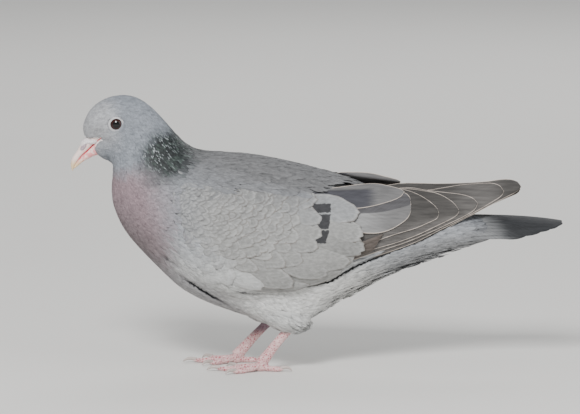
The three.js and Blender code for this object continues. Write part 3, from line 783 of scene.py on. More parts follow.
@dataclass(frozen=True)
class Blade:
    """A big feather between two edges that run from its root to its tip in a surface's two parameters."""

    upper: tuple
    lower: tuple
    depth: tuple  # under the surface, at the root and at the tip
    tone: float = 0.0
    mark: Mark = Mark.NONE
    camber: float = 0.4
    thickness: float = 0.36

    @classmethod
    def along(cls, spine: Sequence, half: float, run: float, depth: tuple, blunt: float = 0.3,
              **rest: object) -> "Blade":
        """Return a feather whose two vanes are alike.

        Args:
            spine: points down its shaft.
            half: the breadth of each vane.
            run: how far back from the tip it has its full breadth.
            depth: how far it lies under the surface at the root and at the tip.
            blunt: the share of the breadth left at the tip.
            rest: the feather's other fields.

        Returns:
            The feather.
        """
        line = Spline(spine)
        t = np.array([0, 0.2, 0.4, 0.6, 0.75, 0.85, 0.92, 0.97, 1.0])
        at = line.at(t * line.last)
        way = unit(np.gradient(at, axis=0))
        left = np.stack([-way[:, 1], way[:, 0]], -1)
        back = np.clip(np.linalg.norm(at - at[-1], axis=1) / run, 0, 1)
        width = half * lerp(blunt, 1, np.sqrt(1 - (1 - back) ** 2)) * lerp(0.5, 1, smooth(t, 0, 0.2))
        edges = [tuple(map(tuple, np.vstack([at + left * width[:, None] * side, at[-1:]])))
                 for side in (1, -1)]
        return cls(*edges, depth, **rest)

    @staticmethod
    def _read(edge: tuple, f: Array) -> Array:
        """Return points at shares of an edge's length."""
        line = Spline(edge)
        s = np.linspace(0, line.last, 300)
        travelled = np.cumsum(np.linalg.norm(np.diff(line.at(s), axis=0, prepend=[edge[0]]), axis=1))
        return line.at(np.interp(f * travelled[-1], travelled, s))

    def vertices(self, surface: Surface, vane: Vane, out: Array | None = None) -> Array:
        """Return the feather's vertices.

        Args:
            surface: the surface that the feather lies under.
            vane: its plan.
            out: the direction that its depth is measured against, in place of the surface's own.

        Returns:
            The vertices, 1 by vertices by 3, in millimetres.
        """
        f, c, face, _ = vane.plan()
        f = 1 - (1 - f) ** 1.6
        plan = lerp(self._read(self.lower, f), self._read(self.upper, f), ((c + 1) / 2)[:, None])
        height = -lerp(self.depth[0], self.depth[1], smooth(f, 0.3, 0.9)) - self.camber * c**2
        height = height + face * self.thickness / 2 * (1 - 0.6 * f) * (1 - 0.5 * np.abs(c))
        point, normal = surface.at(plan[:, 0], plan[:, 1])
        return (point + (normal if out is None else out) * height[:, None])[None]


# -------- colours and node trees
def paint(red: int, green: int, blue: int) -> tuple:
    """Return a screen colour, 0 to 255 a channel, as a linear colour with full alpha."""
    channel = lambda v: (v / 255) / 12.92 if v / 255 <= 0.04045 else ((v / 255 + 0.055) / 1.055) ** 2.4
    return channel(red), channel(green), channel(blue), 1.0


class Tree:
    """Adds nodes to a node tree, fed by values or by other nodes' outputs."""

    def __init__(self, tree: bpy.types.NodeTree) -> None:
        """Keep the tree that the nodes go into."""
        self.tree = tree

    def node(self, kind: str, feeds: dict | None = None, **settings: object) -> bpy.types.Node:
        """Add a node.

        Args:
            kind: the node's type.
            feeds: a value or socket for each input, by name or number.
            settings: the node's own settings.

        Returns:
            The new node.
        """
        node = self.tree.nodes.new(kind)
        for key, value in settings.items():
            setattr(node, key, value)
        for key, value in (feeds or {}).items():
            if isinstance(value, bpy.types.NodeSocket):
                self.link(value, node.inputs[key])
            else:
                node.inputs[key].default_value = value
        return node

    def link(self, output: bpy.types.NodeSocket, socket: bpy.types.NodeSocket) -> None:
        """Feed one socket from another."""
        self.tree.links.new(output, socket)

    def math(self, operation: str, a: object, b: object = 0.0, c: object = 0.0) -> bpy.types.NodeSocket:
        """Return the result of a sum on numbers."""
        return self.node("ShaderNodeMath", {0: a, 1: b, 2: c}, operation=operation).outputs[0]

    def product(self, *factors: object) -> bpy.types.NodeSocket:
        """Return the product of numbers."""
        return reduce(lambda a, b: self.math("MULTIPLY", a, b), factors)

    def vector(self, operation: str, a: object, b: object = (0, 0, 0), scale: object = 1.0) -> object:
        """Return the result of a sum on vectors."""
        node = self.node("ShaderNodeVectorMath", {0: a, 1: b, 3: scale}, operation=operation)
        return node.outputs[1 if operation in ("LENGTH", "DOT_PRODUCT") else 0]

    def parts(self, vector: object) -> Sequence[bpy.types.NodeSocket]:
        """Return the x, y and z of a vector."""
        return self.node("ShaderNodeSeparateXYZ", {0: vector}).outputs

    def mix(self, share: object, a: object, b: object, blend: str = "MIX") -> bpy.types.NodeSocket:
        """Return a mix of two colours."""
        feeds = {0: share, 6: a, 7: b}
        return self.node("ShaderNodeMix", feeds, data_type="RGBA", blend_type=blend).outputs[2]

    def shaded(self, colour: object, factor: object) -> bpy.types.NodeSocket:
        """Return a colour made lighter or darker by a factor."""
        grey = self.node("ShaderNodeCombineColor", {0: factor, 1: factor, 2: factor}).outputs[0]
        return self.mix(1.0, colour, grey, "MULTIPLY")

    def step(self, value: object, low: float, high: float, start: float = 0.0, end: float = 1.0) -> object:
        """Return a smooth step from start to end as the value goes from low to high."""
        feeds = {"Value": value, "From Min": low, "From Max": high, "To Min": start, "To Max": end}
        return self.node("ShaderNodeMapRange", feeds, interpolation_type="SMOOTHSTEP").outputs[0]

    def near_line(self, place: object, line: tuple, full: float, none: float, gain: float = 1.0) -> object:
        """Return a mask round a line in the side plane, for places in millimetres.

        Args:
            place: the place.
            line: x, z and strength at each of the line's points.
            full: how far from the line the mask is full.
            none: how far from it the mask is gone.
            gain: multiplies the strengths.

        Returns:
            The mask's socket.
        """
        flat = self.vector("MULTIPLY", place, (1.0, 0.0, 1.0))
        mask = 0.0
        for (x0, z0, d0), (x1, z1, d1) in zip(line, line[1:]):
            way = (x1 - x0, 0.0, z1 - z0)
            offset = self.vector("SUBTRACT", flat, (x0, 0.0, z0))
            t = self.math("DIVIDE", self.vector("DOT_PRODUCT", offset, way), way[0] ** 2 + way[2] ** 2)
            t = self.node("ShaderNodeClamp", {0: t}).outputs[0]
            away = self.vector("LENGTH", self.vector("SUBTRACT", offset, self.vector("SCALE", way, scale=t)))
            strength = self.math("MULTIPLY_ADD", t, gain * (d1 - d0), gain * d0)
            mask = self.math("MAXIMUM", self.product(self.step(away, none, full), strength), mask)
        return self.node("ShaderNodeClamp", {0: mask}).outputs[0]

    def noise(self, vector: object, scale: float, detail: float = 2.0,
              output: int = 0) -> bpy.types.NodeSocket:
        """Return a noise between 0 and 1, as a number or, with an output of 1, a colour."""
        feeds = {"Vector": vector, "Scale": scale, "Detail": detail}
        return self.node("ShaderNodeTexNoise", feeds).outputs[output]

    def grain(self, stretch: tuple, detail: float = 2.0) -> bpy.types.NodeSocket:
        """Return a noise that is stretched over the object."""
        return self.noise(self.vector("MULTIPLY", self.here(), stretch), 1.0, detail)

    def shaken(self, place: object, scale: float, detail: float, amount: float) -> bpy.types.NodeSocket:
        """Return a place shifted at random by up to half an amount."""
        shift = self.vector("SUBTRACT", self.noise(place, scale, detail, 1), (0.5, 0.5, 0.5))
        return self.vector("ADD", place, self.vector("SCALE", shift, scale=amount))

    def attribute(self, name: str, output: str = "Fac") -> bpy.types.NodeSocket:
        """Return one of the mesh's own attributes."""
        return self.node("ShaderNodeAttribute", attribute_name=name).outputs[output]

    def uv(self, name: str) -> bpy.types.NodeSocket:
        """Return one of the mesh's own UV maps."""
        return self.node("ShaderNodeUVMap", uv_map=name).outputs[0]

    def here(self) -> bpy.types.NodeSocket:
        """Return the place on the object."""
        return self.node("ShaderNodeTexCoord").outputs["Object"]

    def here_mm(self) -> bpy.types.NodeSocket:
        """Return the place on the object, in millimetres."""
        return self.vector("SCALE", self.here(), scale=1 / MM)

    def group(self, group: bpy.types.NodeTree, feeds: dict) -> bpy.types.Node:
        """Place a node group, fed by values or sockets by name."""
        return self.node("ShaderNodeGroup", feeds, node_tree=group)

    def finish(self, shader: bpy.types.Node, colour: object, height: object = None, strength: float = 0.5,
               depth: float = 0.0003) -> None:
        """Feed a shader its colour and, where there is a height, its bump.

        Args:
            shader: the shader node.
            colour: the colour.
            height: the height of the bump.
            strength: the bump's strength.
            depth: the bump's distance.
        """
        self.link(colour, shader.inputs["Base Color"])
        if height is not None:
            bump = self.node("ShaderNodeBump", {"Strength": strength, "Distance": depth, "Height": height})
            self.link(bump.outputs[0], shader.inputs["Normal"])


def node_group(name: str, inputs: dict, outputs: dict) -> tuple:
    """Start a shader node group.

    Args:
        name: the group's name.
        inputs: socket type and first value by name.
        outputs: socket type by name.

    Returns:
        The group, a Tree for it, its input node and its output node.
    """
    group = bpy.data.node_groups.new(name, "ShaderNodeTree")
    for key, (kind, value) in inputs.items():
        socket = group.interface.new_socket(key, in_out="INPUT", socket_type=f"NodeSocket{kind}")
        if value is not None:
            socket.default_value = value
    for key, kind in outputs.items():
        group.interface.new_socket(key, in_out="OUTPUT", socket_type=f"NodeSocket{kind}")
    return group, Tree(group), group.nodes.new("NodeGroupInput"), group.nodes.new("NodeGroupOutput")


class Colour:
    """The colours of the bird."""

    HEAD = paint(129, 134, 141)
    CHEEK = paint(162, 163, 166)
    NECK_DARK = paint(36, 39, 40)
    NECK_GREEN = paint(62, 72, 68)
    # painted glint: pale specks of light on the glossy neck patch
    NECK_FLECK = paint(150, 156, 158)
    BREAST = paint(136, 119, 124)
    BREAST_SIDE = paint(148, 152, 158)
    BELLY = paint(184, 185, 184)
    # painted light: a paler belly under the wing's lower edge, set against the wing's shadow
    BELLY_LIT = paint(198, 198, 196)
    MANTLE = paint(104, 104, 105)
    # painted shadow in the plumage's folds
    FOLD_SHADOW = paint(24, 25, 28)
    COVERT = paint(141, 141, 139)
    SHOULDER = paint(119, 119, 118)
    COVERT_PALE = paint(158, 158, 157)
    COVERT_RIM = paint(120, 113, 107)
    # painted shade on the lower front of the breast
    BREAST_LOW_SHADE = paint(112, 103, 105)
    # painted shade on the underside along the lower breast
    BREAST_UNDER = paint(128, 126, 129)
    # the tail coverts darkened by painted shade under the wing tips
    TAIL_COVERT = paint(84, 85, 87)
    SECONDARY = paint(86, 78, 73)
    RUMP = paint(134, 138, 144)
    UNDERTAIL = paint(138, 139, 141)
    TAIL_BASE = paint(116, 117, 118)
    TAIL_DARK = paint(47, 48, 50)
    FLIGHT = paint(65, 63, 61)
    # a paler web along each feather's edge, and a painted sheen towards the tips of the primaries
    FLIGHT_PALE = paint(104, 101, 99)
    FLIGHT_EDGE = paint(186, 175, 165)
    TERTIAL = paint(104, 103, 103)
    TERTIAL_PALE = paint(142, 142, 142)
    TERTIAL_DEEP = paint(78, 77, 79)
    TERTIAL_PATCH = paint(68, 68, 73)
    MARK = paint(58, 58, 60)
    BILL_PINK = paint(228, 150, 150)
    BILL_PALE = paint(240, 220, 212)
    BILL_TIP = paint(226, 200, 158)
    GAPE = paint(186, 40, 62)
    CERE = paint(236, 231, 230)
    # painted shade of the nostrils' slits under the cere's lobes
    CERE_LOWER = paint(138, 104, 122)
    CERE_SHADE = paint(178, 160, 166)
    LEG_RED = paint(176, 62, 84)
    # painted shade on the far leg's upper shank
    LEG_PURPLE = paint(104, 88, 104)
    LEG_PALE = paint(228, 194, 192)
    CLAW = paint(200, 190, 184)
    CLAW_DARK = paint(150, 138, 132)
    LID = paint(200, 200, 200)
    LID_DARK = paint(160, 160, 164)
    IRIS = paint(34, 12, 10)
    IRIS_LIGHT = paint(54, 20, 15)
    IRIS_RIM = paint(20, 8, 8)
    PUPIL = paint(4, 4, 5)
    FLOOR = paint(226, 224, 220)
    FLOOR_SHADE = paint(222, 220, 216)


@dataclass(frozen=True)
class Region:
    """A stretch of plumage given one colour, the plumage's own in some and painted shade or light in others:
    an ellipsoid that fades out across its surface.
    """

    colour: tuple
    centre: tuple
    radii: tuple
    softness: float
    pitch: float = 0.0
    strength: float = 1.0

    def mask(self, tree: Tree, place: object) -> bpy.types.NodeSocket:
        """Return a mask that is at full strength inside the region.

        Args:
            tree: the tree that the nodes go into.
            place: the place, in millimetres.

        Returns:
            The mask's socket.
        """
        turn = (0, -math.radians(self.pitch), 0)
        feeds = {"Vector": place, "Location": self.centre, "Rotation": turn, "Scale": self.radii}
        offset = tree.node("ShaderNodeMapping", feeds, vector_type="TEXTURE").outputs[0]
        away = tree.vector("LENGTH", offset)
        return tree.step(away, 1 - self.softness, 1 + self.softness, self.strength, 0.0)


@dataclass
class PlumageColour:
    """The node group that gives the plumage's colour at a place on the bird, for the skin and for the coat,
    with painted shade and light in some of its regions.
    """

    regions: tuple = (
        Region(Colour.BELLY, (-60, 0, 20), (130, 90, 68), 0.3),
        # painted light on the belly under the wing's lower edge
        Region(Colour.BELLY_LIT, (-8, 0, 50), (46, 60, 15), 0.5),
        Region(Colour.MANTLE, (-68, 0, 114), (36, 60, 24), 0.6, 0.0, 0.75),
        Region(Colour.MANTLE, (0, 0, 170), (122, 84, 64.5), 0.17, -5.0),
        Region(Colour.RUMP, (90, 0, 118), (60, 50, 28), 0.3),
        Region(Colour.UNDERTAIL, (90, 0, 62), (66, 60, 32), 0.4),
        # painted shade on the tail coverts under the wing tips
        Region(Colour.TAIL_COVERT, (112, 0, 90), (30, 30, 20), 0.5),
        Region(Colour.BREAST, (-122, 0, 99), (27, 46, 40), 0.4),
        # painted shade on the lower front of the breast
        Region(Colour.BREAST_LOW_SHADE, (-124, 0, 76), (28, 40, 26), 0.7),
        # painted shade on the underside along the lower breast
        Region(Colour.BREAST_UNDER, (-82, 0, 51), (40, 60, 11), 0.6, -33.0, 0.7),
        Region(Colour.HEAD, (-124, 0, 157), (33, 40, 29), 0.2),
        Region(Colour.CHEEK, (-141, 0, 155), (15, 40, 15), 0.5),
    )
    patches: tuple = (  # the glossy stretch on each side of the neck
        Region(Colour.NECK_DARK, (-98, 0, 139.5), (16.5, 45, 15.0), 0.4, 45.0),
        Region(Colour.NECK_DARK, (-99, 0, 128.5), (13, 45, 7), 0.5, 25.0, 0.6),
    )

    def __post_init__(self) -> None:
        """Build the group."""
        outputs = {"Colour": "Color", "Gloss": "Float"}
        self.group, tree, entry, leave = node_group("plumage colour", {"Place": ("Vector", None)}, outputs)
        place = tree.shaken(tree.vector("SCALE", entry.outputs["Place"], scale=1 / MM), 0.12, 3.0, 9.0)
        colour = Colour.BREAST_SIDE
        for region in self.regions:
            colour = tree.mix(region.mask(tree, place), colour, region.colour)
        patch = tree.math("MAXIMUM", *(region.mask(tree, place) for region in self.patches))
        speck = tree.step(tree.noise(place, 0.9, 1.0), 0.45, 0.7)
        colour = tree.mix(patch, colour, tree.mix(speck, Colour.NECK_DARK, Colour.NECK_GREEN))
        tree.link(colour, leave.inputs["Colour"])
        tree.link(patch, leave.inputs["Gloss"])


class Finish(Enum):
    """How each kind of feather is coloured."""

    BODY = "body"
    COVERT = "covert"
    TERTIAL = "tertial"
    FLIGHT = "flight"
    TAIL = "tail"
def principled(name: str, roughness: float, specular: float = 0.4, **plain: float) -> tuple:
    """Start a material.

    Args:
        name: the material's name.
        roughness: its roughness where nothing else feeds it.
        specular: its specular level.
        plain: other constant values, by socket name with _ for a space.

    Returns:
        The material, a Tree for its nodes and its shader node.
    """
    material = bpy.data.materials.new(name)
    material.use_nodes = True
    tree = Tree(material.node_tree)
    shader = next(n for n in material.node_tree.nodes if n.type == "BSDF_PRINCIPLED")
    shader.inputs["Roughness"].default_value = roughness
    shader.inputs["Specular IOR Level"].default_value = specular
    for key, value in plain.items():
        shader.inputs[key.replace("_", " ")].default_value = value
    return material, tree, shader


class Barbs:
    """The node group of a vane's fine barbs: slanting lines off the shaft, as a height and a colour factor."""

    def __init__(self) -> None:
        """Build the group."""
        inputs = {name: ("Float", value) for name, value in (("Along", 10.0), ("Across", 3.0), ("Seed", 0.0))}
        inputs["Vane"] = ("Vector", None)
        self.group, tree, entry, leave = node_group("vane barbs", inputs, {"Lines": "Float"})
        across, along, _ = tree.parts(entry.outputs["Vane"])
        side = tree.math("ABSOLUTE", tree.math("SUBTRACT", across, 0.5))
        slant = tree.product(tree.math("SUBTRACT", along, tree.product(side, 0.55)), entry.outputs["Along"])
        feeds = {0: slant, 1: tree.product(side, entry.outputs["Across"]), 2: entry.outputs["Seed"]}
        lines = tree.noise(tree.node("ShaderNodeCombineXYZ", feeds).outputs[0], 1.0, 2.0)
        tree.link(lines, leave.inputs["Lines"])


@dataclass
class FeatherMaterials:
    """The materials of the coat, made once each. Places in them are in metres, and rims in millimetres."""

    # the node group of the painted shadow in the plumage's folds
    folds: bpy.types.NodeTree
    plumage: PlumageColour = field(default_factory=PlumageColour)
    barbs: Barbs = field(default_factory=Barbs)
    made: dict = field(default_factory=dict)
    shoulder: Region = Region(Colour.SHOULDER, (-66, -35, 114), (38, 60, 24), 0.6, 0.0, 0.6)
    bars: tuple = (  # the dark bars of the greater coverts: right end, lower end, upper end and slant
        (8.5, 103.0, 108.3, 0.0), (7.2, 93.4, 102.2, 0.14), (5.4, 84.6, 92.5, 0.26),
    )

    def get(self, finish: Finish) -> bpy.types.Material:
        """Return the material of a kind of feather."""
        if finish not in self.made:
            self.made[finish] = getattr(self, finish.value)()
        return self.made[finish]

    def _close(self, tree: Tree, shader: bpy.types.Node, colour: object, barbs: tuple, depth: float,
               contrast: float, stretch: tuple = (300.0, 400.0, 700.0), mottle: float = 0.06) -> None:
        """Shade a colour by the barbs, the feather's tone and a grain, and feed the shader and its bump.

        Args:
            tree: the material's tree.
            shader: its shader node.
            colour: the colour.
            barbs: how many barbs there are along the feather and across each vane.
            depth: the depth of the barbs' bump.
            contrast: how much the barbs change the colour.
            stretch: the grain's frequencies.
            mottle: how much the grain changes the colour.
        """
        tone = tree.attribute("tone")
        feeds = {"Vane": tree.uv("Vane"), "Along": barbs[0], "Across": barbs[1],
                 "Seed": tree.product(tone, 40.0)}
        lines = tree.group(self.barbs.group, feeds).outputs["Lines"]
        factor = tree.math("ADD", tree.step(lines, 0.3, 0.7, 1 - contrast, 1 + contrast), tone)
        factor = tree.math("ADD", factor, tree.step(tree.grain(stretch, 4.0), 0.3, 0.7, -mottle, mottle))
        tree.finish(shader, tree.shaded(colour, factor), lines, 0.5, depth)

    def body(self) -> bpy.types.Material:
        """Return the material of the small feathers of the head, neck and trunk."""
        material, tree, shader = principled("feathers_body", 0.85, 0.16, Sheen_Weight=0.03)
        place = tree.attribute("root", "Vector")
        area = tree.group(self.plumage.group, {"Place": place})
        gloss = area.outputs["Gloss"]
        across, along, _ = tree.parts(tree.uv("Vane"))
        x, _, z = tree.parts(place)
        # painted glints: pale specks near the tips of the neck patch's feathers, where the gloss catches the
        # light
        glint = tree.product(
            tree.step(tree.attribute("tone"), 0.0, 0.03), tree.step(gloss, 0.3, 0.9),
            tree.step(along, 0.68, 0.86),
            tree.step(tree.math("ABSOLUTE", tree.math("SUBTRACT", across, 0.5)), 0.2, 0.08),
            tree.step(x, -0.09, -0.104, 0.25, 1.0), tree.step(z, 0.128, 0.142, 0.25, 1.0),
        )
        colour = tree.mix(glint, area.outputs["Colour"], Colour.NECK_FLECK)
        # painted shadow in the folds between the plumage's pads
        colour = tree.mix(tree.group(self.folds, {"Place": tree.here()}).outputs["Mask"], colour, Colour.FOLD_SHADOW)
        # painted shade: each body feather is darker towards its covered root and a little lighter at its tip
        colour = tree.shaded(colour, tree.step(along, 0.35, 1.0, 0.9, 1.05))
        self._close(tree, shader, colour, (5.0, 9.0), 0.0004, 0.17, mottle=0.13)
        tree.link(tree.step(gloss, 0.2, 1.0, 0.8, 0.42), shader.inputs["Roughness"])
        return material

    def covert(self) -> bpy.types.Material:
        """Return the material of the smooth feathers of the wing's shield."""
        material, tree, shader = principled("feathers_covert", 0.8, 0.18, Sheen_Weight=0.02)
        place = tree.attribute("root", "Vector")
        x, _, z = tree.parts(place)
        inner = tree.product(
            tree.step(x, -0.088, -0.074), tree.step(tree.math("MULTIPLY_ADD", x, 0.8, z), 0.014, 0.033),
            tree.step(tree.math("MULTIPLY_ADD", x, 0.1, z), 0.111, 0.1, 0.45, 1.0),
        )
        plumage = tree.group(self.plumage.group, {"Place": place}).outputs["Colour"]
        colour = tree.mix(inner, plumage, Colour.COVERT)
        shoulder = self.shoulder.mask(tree, tree.vector("SCALE", place, scale=1 / MM))
        colour = tree.mix(shoulder, colour, self.shoulder.colour)
        edge = tree.attribute("rim")
        fringe = tree.product(tree.step(edge, 0.5, 1.0), tree.step(edge, 2.6, 1.2, 0.0, 0.5))
        colour = tree.mix(fringe, colour, Colour.COVERT_PALE)
        uneven = tree.step(tree.noise(tree.here(), 160.0, 2.0), 0.3, 0.7, 0.15, 0.75)
        rim = tree.product(self._rim(tree, 0.2, 0.75), uneven, tree.step(x, -0.088, -0.05, 0.15, 1.0))
        colour = self._barred(tree, tree.mix(rim, colour, Colour.COVERT_RIM))
        self._close(tree, shader, colour, (16.0, 4.0), 0.0003, 0.07, (330.0, 500.0, 800.0), 0.12)
        return material

    def tertial(self) -> bpy.types.Material:
        """Return the material of the wing's big inner feathers, some with a dark patch or upper vane."""
        material, tree, shader = principled("feathers_tertial", 0.72, 0.2)
        upper, lower, lifted = (self._like(tree, kind) for kind in (Mark.UPPER, Mark.LOWER, Mark.LIFTED))
        x, _, z = tree.parts(tree.here())
        pale = tree.product(tree.step(x, 0.05, 0.022, 0.0, 0.85), lower)
        deep = tree.product(tree.step(tree.parts(tree.uv("Vane"))[0], 0.47, 0.5), lower)
        colour = tree.mix(deep, tree.mix(pale, Colour.TERTIAL, Colour.TERTIAL_PALE), Colour.TERTIAL_DEEP)
        ragged = tree.math("ADD", x, tree.product(tree.grain((100.0, 600.0, 900.0)), 0.006))
        patch = tree.product(tree.step(ragged, 0.042, 0.033), tree.step(z, 0.1162, 0.1148), upper)
        patch = tree.math("MAXIMUM", patch, tree.product(tree.step(ragged, 0.024, 0.018), lifted))
        colour = tree.mix(patch, colour, Colour.TERTIAL_PATCH)
        colour = tree.mix(self._rim(tree, 0.26, 0.54), colour, Colour.FLIGHT_EDGE)
        self._close(tree, shader, colour, (40.0, 1.6), 0.0002, 0.06, (70.0, 420.0, 560.0), 0.14)
        return material

    def flight(self) -> bpy.types.Material:
        """Return the material of the primaries and secondaries."""
        material, tree, shader = principled("feathers_flight", 0.62, 0.24)
        x = tree.parts(tree.here())[0]
        pale = tree.step(tree.parts(tree.uv("Vane"))[0], 0.3, 0.05, 0.0, 0.6)
        # painted sheen: a lighter stretch over the primaries short of their tips
        pale = tree.math("MAXIMUM", pale, tree.step(x, 0.078, 0.1, 0.0, 0.45))
        pale = tree.product(pale, tree.step(x, 0.122, 0.106, 0.05, 1.0))
        colour = tree.mix(pale, Colour.FLIGHT, Colour.FLIGHT_PALE)
        inner = self._like(tree, Mark.SECONDARY)
        colour = tree.mix(tree.product(inner, 0.8), colour, Colour.SECONDARY)
        rim = tree.product(self._rim(tree, 0.2, 0.5), tree.math("SUBTRACT", 1.0, inner))
        colour = tree.mix(rim, colour, Colour.FLIGHT_EDGE)
        self._close(tree, shader, colour, (60.0, 1.2), 0.0002, 0.08, (45.0, 420.0, 600.0), 0.24)
        return material

    def tail(self) -> bpy.types.Material:
        """Return the material of the tail feathers, pale at the base and dark over the last third."""
        material, tree, shader = principled("feathers_tail", 0.66, 0.22)
        x, _, z = tree.parts(tree.here())
        streak = tree.grain((60.0, 700.0, 700.0), 3.0)
        x = tree.math("ADD", x, tree.product(tree.math("SUBTRACT", streak, 0.5), 0.02))
        x = tree.math("MULTIPLY_ADD", tree.math("SUBTRACT", z, 0.09), 0.9, x)
        colour = tree.mix(tree.step(x, 0.106, 0.122), Colour.TAIL_BASE, Colour.TAIL_DARK)
        colour = tree.shaded(colour, tree.step(streak, 0.3, 0.7, 0.78, 1.15))
        colour = tree.mix(tree.product(self._rim(tree, 0.1, 0.5), 0.6), colour, Colour.TAIL_DARK)
        self._close(tree, shader, colour, (70.0, 2.0), 0.0003, 0.14)
        return material

    @staticmethod
    def _like(tree: Tree, kind: Mark) -> bpy.types.NodeSocket:
        """Return 1 on feathers of a kind."""
        feeds = {0: tree.attribute("mark"), 1: kind.value, 2: 0.1}
        return tree.node("ShaderNodeMath", feeds, operation="COMPARE").outputs[0]

    @staticmethod
    def _rim(tree: Tree, full: float, none: float) -> bpy.types.NodeSocket:
        """Return a mask along a feather's edges: 1 up to a distance in millimetres and 0 from another."""
        return tree.step(tree.attribute("rim"), none, full)

    def _barred(self, tree: Tree, colour: object) -> bpy.types.NodeSocket:
        """Return a colour with the short dark bars of the greater coverts.

        Args:
            tree: the material's tree.
            colour: the colour round the bars.

        Returns:
            The colour's socket.
        """
        x, _, z = tree.parts(tree.shaken(tree.here_mm(), 0.7, 2.0, 1.6))
        mask = 0.0
        for right, low, high, slant in self.bars:
            end = tree.math("ADD", right, tree.product(tree.math("SUBTRACT", z, low), slant))
            inside = tree.product(tree.step(tree.math("SUBTRACT", x, end), 0.3, -0.3),
                                  tree.step(z, low - 0.3, low + 0.3), tree.step(z, high + 0.3, high - 0.3))
            mask = tree.math("MAXIMUM", inside, mask)
        return tree.mix(tree.product(tree.attribute("mark"), mask), colour, Colour.MARK)


# -------- the coat
@dataclass
class Tract:
    """A stretch of the body's plumage: where it lies and how its feathers are made."""

    name: str
    along: tuple  # first and last body section
    spacing: float
    length: float
    half: float
    sink: float
    vane: Vane
    candidates: int
    fray: float = 0.06


